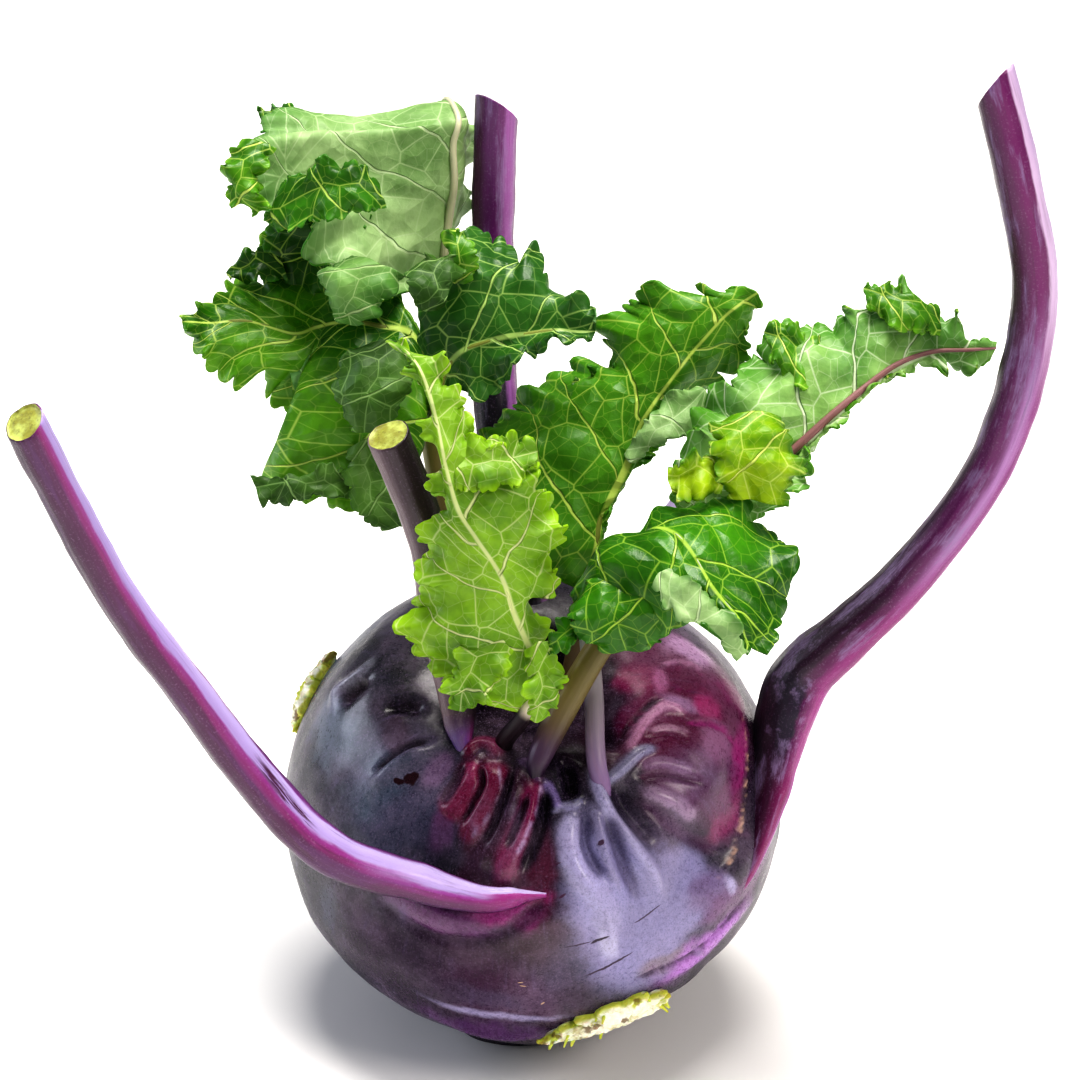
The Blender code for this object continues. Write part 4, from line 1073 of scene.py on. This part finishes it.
def make_rib(name, leaf, finish, slot):
    """A tapered tube for the stem and the rib, proud of the underside of the blade."""
    line = np.array([row[0] for row in leaf["stem"]] + list(leaf["rib"]), float)
    thick = [row[1] for row in leaf["stem"]]
    count = len(leaf["rib"])
    thick += [thick[-1] * (1 - RIB_TAPER * k / (count - 1)) * 0.5 for k in range(count)]
    shape, across, along = grid_sheet(RIB_ROUND, RIB_LONG)
    turn = across * math.tau
    ahead = way_along(line, along, 0.004)
    rib_share = np.clip((along * (len(line) - 1) - len(leaf["stem"])) / (count - 1), 0, 1)
    span = through(leaf["right"], rib_share) - through(leaf["left"], rib_share)
    upper = unit(np.cross(span, ahead))
    wide = unit(np.cross(ahead, upper))
    radius = through([(each,) for each in thick], along)[:, 0]
    sunk = radius * 0.8 * soft(rib_share, 0.0, 0.1)
    middle = through(line, along) - upper * sunk[:, None]
    ring = wide * np.cos(turn)[:, None] + upper * np.sin(turn)[:, None]
    move_to(shape, middle + ring * (radius * (1 + 0.03 * np.cos(7 * turn)))[:, None])
    length = np.linalg.norm(np.diff(line, axis=0), axis=1).sum()
    lay_uv(shape, "skin", across, along * length * MM)
    bmesh.ops.remove_doubles(shape, verts=shape.verts, dist=0.01)
    bmesh.ops.holes_fill(shape, edges=shape.edges, sides=0)
    bmesh.ops.recalc_face_normals(shape, faces=shape.faces)
    return add_piece(name + "_rib", shape, [finish], slot, name)


VEIN_SPACING = 11 * MM
VEIN_WIDTH = 0.32 * MM
VEIN_SLANT = 0.75  # how steeply the side veins leave the rib


def vein_lines(node):
    """The blade's flat map, how far out each place is, and 1 on its side veins and on its rib."""
    flat = node("UVMap", uv_map="flat")
    wavy = node("TexNoise", Vector=flat, Scale=60.0, Detail=3.0, out="Color")
    offset = node("VectorMath", wavy, HALFWAY, operation="SUBTRACT")
    shifted = node("VectorMath", offset, Scale=7 * MM, operation="SCALE")
    sideways = node("SeparateXYZ", node("VectorMath", flat, shifted, operation="ADD"))
    upwards = sideways.node.outputs[1]
    out = node("Math", sideways, operation="ABSOLUTE")
    half = node("Math", node("Math", sideways, operation="SIGN"), 0.27, operation="MULTIPLY")
    slanted = node("Math", out, VEIN_SLANT, operation="MULTIPLY")
    leaning = node("Math", upwards, slanted, operation="SUBTRACT")
    leaning = node("Math", leaning, VEIN_SPACING, operation="DIVIDE")
    phase = node("Math", node("Math", leaning, half, operation="ADD"), operation="FRACT")
    near = node("Math", node("Math", phase, 0.5, operation="SUBTRACT"), operation="ABSOLUTE")
    gap = node("Math", near, VEIN_SPACING, operation="MULTIPLY")
    shares = node("SeparateXYZ", node("UVMap", uv_map="shares"))
    share = node("Math", node("Math", shares, 2.0, -1.0, operation="MULTIPLY_ADD"), operation="ABSOLUTE")
    reach = node("MapRange", share, 0.0, 1.0, VEIN_WIDTH, VEIN_WIDTH * 0.35, **SMOOTH)
    line = node("MapRange", node("Math", gap, reach, operation="DIVIDE"), 0.5, 1.3, 1.0, 0.0, **SMOOTH)
    tapered = node("Math", shares.node.outputs[1], 1.6, 1.0, operation="MULTIPLY_ADD")
    aside = node("Math", node("SeparateXYZ", flat), operation="ABSOLUTE")
    aside = node("Math", aside, tapered, operation="MULTIPLY")
    return flat, share, line, node("MapRange", aside, 0.3 * MM, 0.9 * MM, 1.0, 0.0, **SMOOTH)


def net(node, flat, scale, wide):
    """1 on the fine veins round the cells of the leaf, and how far each place is from them."""
    cells = node("TexVoronoi", Vector=flat, Scale=scale, voronoi_dimensions="2D", feature="DISTANCE_TO_EDGE")
    return node("MapRange", cells, 0.0, wide, 1.0, 0.0, **SMOOTH), cells


def blade_finish(name, deep, light, vein, margin, gloss, glow):
    """One side of a leaf: puckered green cells between paler veins, with light coming through.

    The cells are 6 mm and 2 mm across. margin is the colour of the edge and its share, and glow
    the colour of the light that comes through and its share.
    """
    made, node, where = new_material(name)
    flat, out, lateral, rib = vein_lines(node)
    coarse, pillows = net(node, flat, 165.0, 0.035)
    fine, _cells = net(node, flat, 480.0, 0.06)
    cloudy, spots = lumps(node, where, (60.0, 4.0, 0.55), (700.0, 3.0, 0.55))
    broad = node("MapRange", cloudy, 0.32, 0.68, **SMOOTH)
    spotted = node("Math", spots, 0.5, operation="SUBTRACT")
    tone = node("Math", spotted, 0.8, broad, operation="MULTIPLY_ADD")
    paint = node("Mix", tone, colour(deep), colour(light), **PAINT)
    paint = wash(node, paint, out, 0.62, 1.0, margin[1], margin[0])
    fine = node("Math", fine, 0.22, operation="MULTIPLY")
    coarse = node("Math", coarse, 0.62, operation="MULTIPLY")
    veins = node("Math", node("Math", fine, coarse, operation="MAXIMUM"), lateral, operation="MAXIMUM")
    paint = node("Mix", veins, paint, colour(vein), **PAINT)
    paint = node("Mix", rib, paint, colour(vein), **PAINT)
    sunk = node("Math", lateral, 0.8, operation="MULTIPLY")
    height = node("MapRange", pillows, 0.0, 0.45, **SMOOTH)
    height = node("Math", height, sunk, operation="SUBTRACT")
    height = node("Math", spots, 0.25, height, operation="MULTIPLY_ADD")
    bumpy = node("Bump", Height=height, Strength=0.8, Distance=0.7 * MM)
    dress(made, {"Base Color": paint, "Roughness": gloss, "Specular IOR Level": 0.45, "Normal": bumpy})
    warm = node("Mix", 1.0, paint, colour(glow[0]), blend_type="MULTIPLY", **PAINT)
    through_it = node("BsdfTranslucent", Color=warm, Normal=bumpy)
    nodes = made.node_tree.nodes
    both = node("MixShader", glow[1], nodes["Principled BSDF"].outputs[0], through_it)
    made.node_tree.links.new(both, nodes["Material Output"].inputs["Surface"])
    return made


def stem_skin(name, *tones):
    """Skin of a leaf stem and rib, in tones given as (metres from the bulb, colour)."""
    made, node, where = new_material(name)
    place = node("UVMap", uv_map="skin")
    along = node("SeparateXYZ", place, out="Y")
    fibres = streaky(node, place, 16.0, 70.0, 4.0, 0.6)
    paint = colour(tones[0][1])
    for (start, _tone), (end, tone) in zip(tones, tones[1:]):
        paint = wash(node, paint, along, start, end, 1.0, tone)
    return dress(made, {
        "Base Color": wash(node, paint, fibres, 0.35, 0.7, 0.35, "d8cfc0", blend_type="SOFT_LIGHT"),
        "Roughness": 0.42,
        "Normal": node("Bump", Height=fibres, Strength=0.4, Distance=0.3 * MM),
    })


# ------------------------------------------------------------- torn ends and the root
# (down and round on the bulb, length, height and thickness, turn, points round the edge)
SCARS = {
    "leaf_scar_front": (90, -72.5, 10.5, 2.9, 2.2, -0.32, 11),
    "leaf_scar_left": (77, 157, 7.0, 3.2, 2.6, 1.20, 9),
}
SCAR_ROUND, SCAR_DOWN = 160, 60  # faces round a scar and down it
FIBRE_LENGTHS, FIBRE_RADII = (1.2, 3.4), (0.35, 0.8)
ROOT_RADIUS, ROOT_TIP_RADIUS, ROOT_LENGTH, ROOT_DEPTH, ROOT_CLEAR = 7.5, 6.8, 9.0, 38.0, 0.8


def make_scar(name, finish):
    """A ragged pad of torn flesh with short fibres hanging from its rim."""
    down, turn, length, height, thickness, tilt, points = SCARS[name]
    shape = bmesh.new()
    tip = shape.verts.layers.float.new("tip")
    bmesh.ops.create_uvsphere(shape, u_segments=SCAR_ROUND, v_segments=SCAR_DOWN, radius=1.0)
    rays = np.array([vert.co for vert in shape.verts])
    middle = bulb_points(np.array([float(down)]), np.array([float(turn)]))[0]
    outward = Vector(middle - BULB_CENTRE).normalized()
    level = outward.cross(Vector((0, 0, 1))).normalized()
    along = Matrix.Rotation(-tilt, 3, outward) @ level
    over = np.array(outward.cross(along).normalized())
    along, outward = np.array(along), np.array(outward)
    x, y, z = rays.T
    rim, angle = np.hypot(x, y), np.arctan2(y, x)
    ragged = 1 + rim * (0.16 * np.sin(angle * points) + 0.08 * np.sin(angle * 3 + 1))
    ragged += rim**3 * 0.28 * wander(np.stack([np.cos(angle) * 5, np.sin(angle) * 5, 0 * z], -1), 1.0, 4)
    spread = along * (x * length * ragged)[:, None] + over * (y * height * ragged)[:, None]
    rough = wander(rays * (3.0, 1.2, 1.0), 0.25, 6) * 0.7 + wander(rays * (2.0, 1.0, 1.0), 0.09, 8) * 0.3
    move_to(shape, middle + spread + outward * (z * thickness + rough * (1 - 0.5 * rim))[:, None])
    for vert, share in zip(shape.verts, soft(rim, 0.90, 1.0)):
        vert[tip] = share
    chance = random.Random(points)
    for _ in range(2 * points):
        a = chance.uniform(0, math.tau)
        aside = along * math.cos(a) * length + over * math.sin(a) * height
        root = middle + aside * chance.uniform(0.6, 1.0)
        way = Vector(unit(aside) * 0.7 + outward * 0.5 + np.array((0, 0, -0.7))).normalized()
        long, thick = chance.uniform(*FIBRE_LENGTHS), chance.uniform(*FIBRE_RADII)
        turned = way.to_track_quat("Z", "Y").to_matrix().to_4x4()
        place = Matrix.Translation(Vector(root) + way * long * 0.4) @ turned
        fibre = bmesh.ops.create_cone(shape, cap_ends=True, segments=10, radius1=thick, radius2=0.3 * thick,
                                      depth=long, matrix=place)
        for vert in fibre["verts"]:
            vert[tip] = 1.0
    bmesh.ops.recalc_face_normals(shape, faces=shape.faces)
    return add_piece(name + "_fibres", shape, [finish], "flesh", name)


def torn_flesh():
    """Ragged, stringy flesh, creamy white with yellow-green ends and a few brown spots."""
    made, node, where = new_material("torn flesh")
    tip = node("Attribute", attribute_name="tip", out="Fac")
    strings = node("TexNoise", Vector=where, Scale=420.0, Detail=4.0, Roughness=0.65, Distortion=0.6)
    clouds, spots = lumps(node, where, (170.0, 3.0, 0.55), (260.0, 3.0, 0.55))
    paint = wash(node, colour("c9c58c"), strings, 0.30, 0.55, 1.0, "fbf8e6")
    patches = node("MapRange", clouds, 0.60, 0.66, **SMOOTH)
    green = node("Math", tip, patches, operation="MAXIMUM", use_clamp=True)
    green = node("Math", green, 0.9, operation="MULTIPLY")
    paint = node("Mix", green, paint, colour("c6cf2a"), **PAINT)
    return dress(made, {
        "Base Color": wash(node, paint, spots, 0.60, 0.68, 0.8, "6e5420"),
        "Roughness": 0.6,
        "Subsurface Weight": 0.2,
        "Subsurface Scale": 2 * MM,
        "Normal": node("Bump", Height=strings, Strength=0.8, Distance=0.8 * MM),
    })


def make_root(finish):
    shape = bmesh.new()
    bmesh.ops.create_cone(shape, cap_ends=True, segments=64, radius1=ROOT_RADIUS, radius2=ROOT_TIP_RADIUS,
                          depth=ROOT_LENGTH)
    away = Matrix.Rotation(LEAN + math.pi, 4, "X") @ Matrix.Translation((0, 0, ROOT_DEPTH))
    bmesh.ops.transform(shape, matrix=Matrix.Translation(BULB_CENTRE) @ away, verts=shape.verts)
    cut_level(shape, ROOT_CLEAR)
    return add_piece("root_stub_bark", shape, [finish], "root", "root_stub")


def bark():
    """Dry, rough brown wood."""
    made, node, where = new_material("woody root")
    rough, = lumps(node, where, (300.0, 5.0, 0.65))
    return dress(made, {
        "Base Color": wash(node, colour("5a4630"), rough, 0.3, 0.7, 1.0, "a8916a"),
        "Roughness": 0.85,
        "Normal": node("Bump", Height=rough, Strength=0.8, Distance=0.8 * MM),
    })


# ------------------------------------------------------------- floor, light and camera
FLOOR_HALF = 12.0
LENS, SENSOR = 128.33, 36.0
ELEVATION, DISTANCE = math.radians(24.0), 0.700
AIM = Vector((0.001455, 0.025597, 0.082016))


def make_floor():
    shape = bmesh.new()
    bmesh.ops.create_grid(shape, x_segments=1, y_segments=1, size=FLOOR_HALF)
    mesh = bpy.data.meshes.new("floor")
    shape.to_mesh(mesh)
    shape.free()
    floor = bpy.data.objects.new("floor", mesh)
    bpy.context.scene.collection.objects.link(floor)
    paper = new_material("white paper")[0]
    dress(paper, {"Base Color": colour("fafafa"), "Roughness": 0.9, "Specular IOR Level": 0.1})
    mesh.materials.append(paper)


def make_light(name, place, aim, size, power, tone="ffffff"):
    data = bpy.data.lights.new(name, "AREA")
    data.shape = "DISK"
    data.size = size
    data.energy = power
    data.color = colour(tone)[:3]
    light = bpy.data.objects.new(name, data)
    light.location = place
    light.rotation_mode = "QUATERNION"
    light.rotation_quaternion = (Vector(aim) - Vector(place)).to_track_quat("-Z", "Y")
    bpy.context.scene.collection.objects.link(light)


def make_camera():
    data = bpy.data.cameras.new("camera")
    data.sensor_width = SENSOR
    data.lens = LENS
    camera = bpy.data.objects.new("camera", data)
    back = Vector((0, -math.cos(ELEVATION), math.sin(ELEVATION)))
    camera.location = AIM + back * DISTANCE
    camera.rotation_mode = "QUATERNION"
    camera.rotation_quaternion = (-back).to_track_quat("-Z", "Y")
    bpy.context.scene.collection.objects.link(camera)
    bpy.context.scene.camera = camera


# ------------------------------------------------------------- the finishes of stalks and leaves
# Bands of colour round each stalk, as (place, colour), and how far up the stalk each set goes; besides the
# skin's own colours they hold painted highlights and painted shade on its sides
LEFT_BANDS = [
    (0.045, [(0.0, "501448"), (0.28, "50144a"), (0.38, "80186a"), (0.50, "94207a"), (0.55, "9c3088"),
             (0.58, "b8a6d8"), (0.70, "c2b6e0"), (0.74, "74307c"), (0.80, "501448"), (1.0, "501448")]),
    (0.070, [(0.0, "401040"), (0.27, "3a0e40"), (0.38, "581650"), (0.45, "801a72"), (0.48, "943c94"),
             (0.52, "b09cd2"), (0.68, "b8a8d8"), (0.73, "74307c"), (0.80, "421446"), (1.0, "401040")]),
    (0.200, [(0.0, "401040"), (0.26, "300a2e"), (0.36, "4a1444"), (0.46, "56184e"), (0.50, "80186a"),
             (0.53, "8c2c82"), (0.56, "a08cc2"), (0.66, "b2a2d4"), (0.70, "74307c"), (0.78, "421446"),
             (1.0, "401040")]),
]
RIGHT_BANDS = [
    (0.034, [(0.0, "3c0c34"), (0.30, "2a0622"), (0.45, "3c0a30"), (0.60, "7e0c5c"), (0.70, "98409a"),
             (0.80, "4c1444"), (1.0, "3c0c34")]),
    (0.076, [(0.0, "200c1e"), (0.22, "221c28"), (0.40, "2a2432"), (0.53, "32283c"), (0.56, "5c0450"),
             (0.64, "8c0474"), (0.70, "9c3c94"), (0.78, "380c3a"), (1.0, "200c1e")]),
    (0.104, [(0.0, "2c0a28"), (0.22, "1e0616"), (0.34, "280622"), (0.47, "30042c"), (0.51, "5c0450"),
             (0.60, "84046e"), (0.68, "7a0664"), (0.74, "9c5c9c"), (0.82, "400e3c"), (1.0, "2c0a28")]),
    (0.138, [(0.0, "2c0a28"), (0.22, "1e061c"), (0.33, "2c0a2c"), (0.40, "54064e"), (0.50, "660a5e"),
             (0.57, "a070a8"), (0.66, "7c0c70"), (0.72, "8c4494"), (0.80, "3a0e3c"), (1.0, "2c0a28")]),
    (0.300, [(0.0, "2c0a28"), (0.24, "221220"), (0.36, "3c0e36"), (0.43, "54044c"), (0.54, "6e0660"),
             (0.60, "640a58"), (0.625, "c8b0d0"), (0.72, "a890b8"), (0.82, "3a1440"), (1.0, "2c0a28")]),
]
REAR_BANDS = [
    # the first set is mostly near-black: painted shade on the rear stalk's foot in the crown
    (0.075, [(0.0, "140c1a"), (0.24, "120e18"), (0.50, "1a1024"), (0.57, "241430"), (0.60, "9c64a8"),
             (0.66, "843e88"), (0.76, "140c1a"), (1.0, "140c1a")]),
    (0.300, [(0.0, "441448"), (0.24, "2e1034"), (0.34, "501450"), (0.47, "601a64"), (0.55, "6c1e6c"),
             (0.61, "a05ca4"), (0.66, "8c3c92"), (0.76, "441448"), (1.0, "441448")]),
]
SHORT_BANDS = [
    (0.018, [(0.0, "4a3870"), (0.25, "5a447c"), (0.40, "624c84"), (0.55, "6c3e88"), (0.68, "8a3a7c"),
             (0.76, "40285c"), (1.0, "4a3870")]),
    (0.300, [(0.0, "4c3842"), (0.25, "74605f"), (0.36, "645055"), (0.50, "483640"), (0.62, "342430"),
             (0.75, "2a1c26"), (1.0, "4c3842")]),
]
PALE_BANDS = [(0.300, [(0.0, "9c8eb0"), (0.3, "b0a2c2"), (0.5, "9484ac"), (0.7, "58406a"), (1.0, "9c8eb0")])]
# For each stalk: (slot, material, turn of its bands, bands, bloom across them, ragged marks)
STALK_SKINS = {
    "stalk_left": ("bright_stalk", "left stalk skin", -0.34, LEFT_BANDS, (0.26, 0.50, 0.20, "7c5a98"),
                   (0.084, 0.100, 0.53, 0.63, "44103c")),
    "stalk_right": ("bright_stalk", "right stalk skin", 0.56, RIGHT_BANDS, (0.24, 0.60, 0.66, "8c78a0")),
    "stalk_rear": ("dark_stalk", "rear stalk skin", -0.25, REAR_BANDS, (0.24, 0.70, 0.35, "9a90b4")),
    "stalk_short": ("dark_stalk", "short stalk skin", -0.25, SHORT_BANDS, (0.2, 0.6, 0.35, "7c6e78")),
    "stalk_right_rear": ("dark_stalk", "pale stalk skin", 0.0, PALE_BANDS, (0.0, 1.0, 0.4, "c4bad2")),
}
GREEN_GLOW = ("d8f080", 0.30)
LIME_GLOW = ("ffffad", 0.35)
# For each side of a leaf: (deep and light green, veins, edge and its share, roughness, glow)
BLADE_LOOKS = {
    "dark leaf": ("28590f", "45861c", "c4e070", ("5aa628", 0.5), 0.36, GREEN_GLOW),
    "bright leaf": ("377412", "6dac24", "d6ee7c", ("8cc838", 0.6), 0.36, GREEN_GLOW),
    "dusty leaf": ("3c6422", "64903c", "98bc74", ("4a7830", 0.4), 0.5, GREEN_GLOW),
    "mid-green hem": ("5c9040", "8cb868", "c0dc9c", ("447c28", 0.6), 0.5, GREEN_GLOW),
    "yellow-green ruffle": ("64a012", "b8d41c", "e0ee80", ("3f8418", 0.8), 0.4, GREEN_GLOW),
    "bluish leaf": ("2b5f1c", "467f2e", "bcdc80", ("4a8434", 0.5), 0.36, GREEN_GLOW),
    "glossy leaf": ("28600d", "4c9218", "b4d858", ("3a781c", 0.4), 0.32, GREEN_GLOW),
    "dark leaf underside": ("5a934e", "80b96b", "add891", ("6da658", 0.3), 0.5, GREEN_GLOW),
    "pale leaf underside": ("88b06a", "bedc9e", "d0e6b4", ("558f38", 0.75), 0.5, GREEN_GLOW),
    "lime leaf": ("689a22", "a0cc3a", "e2ecae", ("add824", 0.9), 0.42, LIME_GLOW),
    "green leaf": ("478216", "5f9f21", "c5dc6b", ("5d9f28", 0.6), 0.40, GREEN_GLOW),
    "right leaf underside": ("659a48", "a2cc78", "e0f0cc", ("5ca024", 0.8), 0.45, GREEN_GLOW),
}
# For each stem and rib: colours along it, as (metres from the bulb, colour)
STEM_LOOKS = {
    "white rib": ((0.017, "1c1018"), (0.021, "dcd2bc"), (0.050, "c4d088")),
    "olive stem": ((0.0, "2c1830"), (0.012, "665337"), (0.05, "828c40")),
    "pale rib": ((0.02, "9f8774"), (0.07, "c4c4a4")),
    "purple stem": ((0.0, "806491"), (0.06, "a4ad95")),
    "brown rib": ((0.005, "24102a"), (0.015, "46324a"), (0.026, "6c6234"), (0.045, "7a7238"),
                  (0.07, "825d5d")),
}

# ------------------------------------------------------------- put it together
make_bulb(waxy_skin())
flesh = cut_flesh()
for stalk, (slot, skin, *look) in STALK_SKINS.items():
    make_stalk(stalk, stalk_skin(skin, *look), flesh, slot)

blade = {name: blade_finish(name, *look) for name, look in BLADE_LOOKS.items()}
stem = {name: stem_skin(name, *tones) for name, tones in STEM_LOOKS.items()}
for leaf, upper, under, rib, slot in (
        ("leaf_back", "dark leaf", "pale leaf underside", "pale rib", "pale_leaf"),
        ("leaf_left", "bright leaf", "dark leaf underside", "olive stem", "dark_leaf"),
        ("leaf_middle", "bluish leaf", "dark leaf underside", "olive stem", "dark_leaf"),
        ("leaf_front", "lime leaf", "lime leaf", "white rib", "lime_leaf"),
        ("leaf_centre", "green leaf", "dark leaf underside", "olive stem", "green_leaf"),
        ("leaf_right", "green leaf", "right leaf underside", "brown rib", "green_leaf"),
        ("leaf_low_right", "glossy leaf", "pale leaf underside", "purple stem", "dark_leaf")):
    make_leaf(leaf, blade[upper], blade[under], stem[rib], slot)
for slot, frill, upper, under, lobes in (
        ("pale_leaf", RUFFLE_FRILL, "dark leaf", "dark leaf underside",
         ("back_shade", "back_fringe", "back_patch")),
        ("pale_leaf", RUFFLE_FRILL, "bright leaf", "dark leaf underside", ("back_curl",)),
        ("pale_leaf", LOBE_FRILL, "mid-green hem", "dark leaf", ("back_hem",)),
        ("dark_leaf", LOBE_FRILL, "dark leaf", "dark leaf underside", ("left_round",)),
        ("dark_leaf", LOBE_FRILL, "dusty leaf", "dark leaf",
         ("left_curl", "left_tail", "left_foot", "middle_flap")),
        ("dark_leaf", LOBE_FRILL, "bright leaf", "dark leaf underside", ("middle_cup",)),
        ("green_leaf", LOBE_FRILL, "pale leaf underside", "green leaf", ("centre_fold",)),
        ("green_leaf", RUFFLE_FRILL, "dark leaf", "dark leaf underside", ("centre_side",)),
        ("lime_leaf", RUFFLE_FRILL, "lime leaf", "lime leaf", ("front_frill", "front_skirt", "front_hem")),
        ("green_leaf", RUFFLE_FRILL, "yellow-green ruffle", "right leaf underside",
         ("right_ruffle", "right_tip")),
        ("green_leaf", RUFFLE_FRILL, "bright leaf", "right leaf underside", ("right_crest", "right_side")),
        ("dark_leaf", LOBE_FRILL, "pale leaf underside", "glossy leaf", ("low_fold",)),
        ("dark_leaf", LOBE_FRILL, "glossy leaf", "pale leaf underside", ("low_cup", "low_leaflet"))):
    for lobe in lobes:
        make_lobe(lobe, frill, blade[upper], blade[under], slot)

torn = torn_flesh()
for scar in SCARS:
    make_scar(scar, torn)
make_root(bark())

make_floor()
make_light("overhead", (0.06, 0.10, 1.05), (0, 0, 0.05), 0.6, 12.8, "fffaf4")
make_light("right window", (0.55, -0.45, 0.55), (0, 0, 0.07), 0.35, 2.6, "fff6ee")
make_light("left window", (-0.8, 0.15, 0.35), (0, 0, 0.07), 0.4, 2.2, "eaf0ff")
world = bpy.data.worlds.new("studio")
world.use_nodes = True
backdrop = world.node_tree.nodes["Background"].inputs
backdrop["Color"].default_value = (1, 1, 1, 1)
backdrop["Strength"].default_value = 0.24
bpy.context.scene.world = world
bpy.context.scene.view_settings.view_transform = "Standard"
bpy.context.scene.view_settings.look = "High Contrast"
make_camera()

bpy.context.view_layer.update()
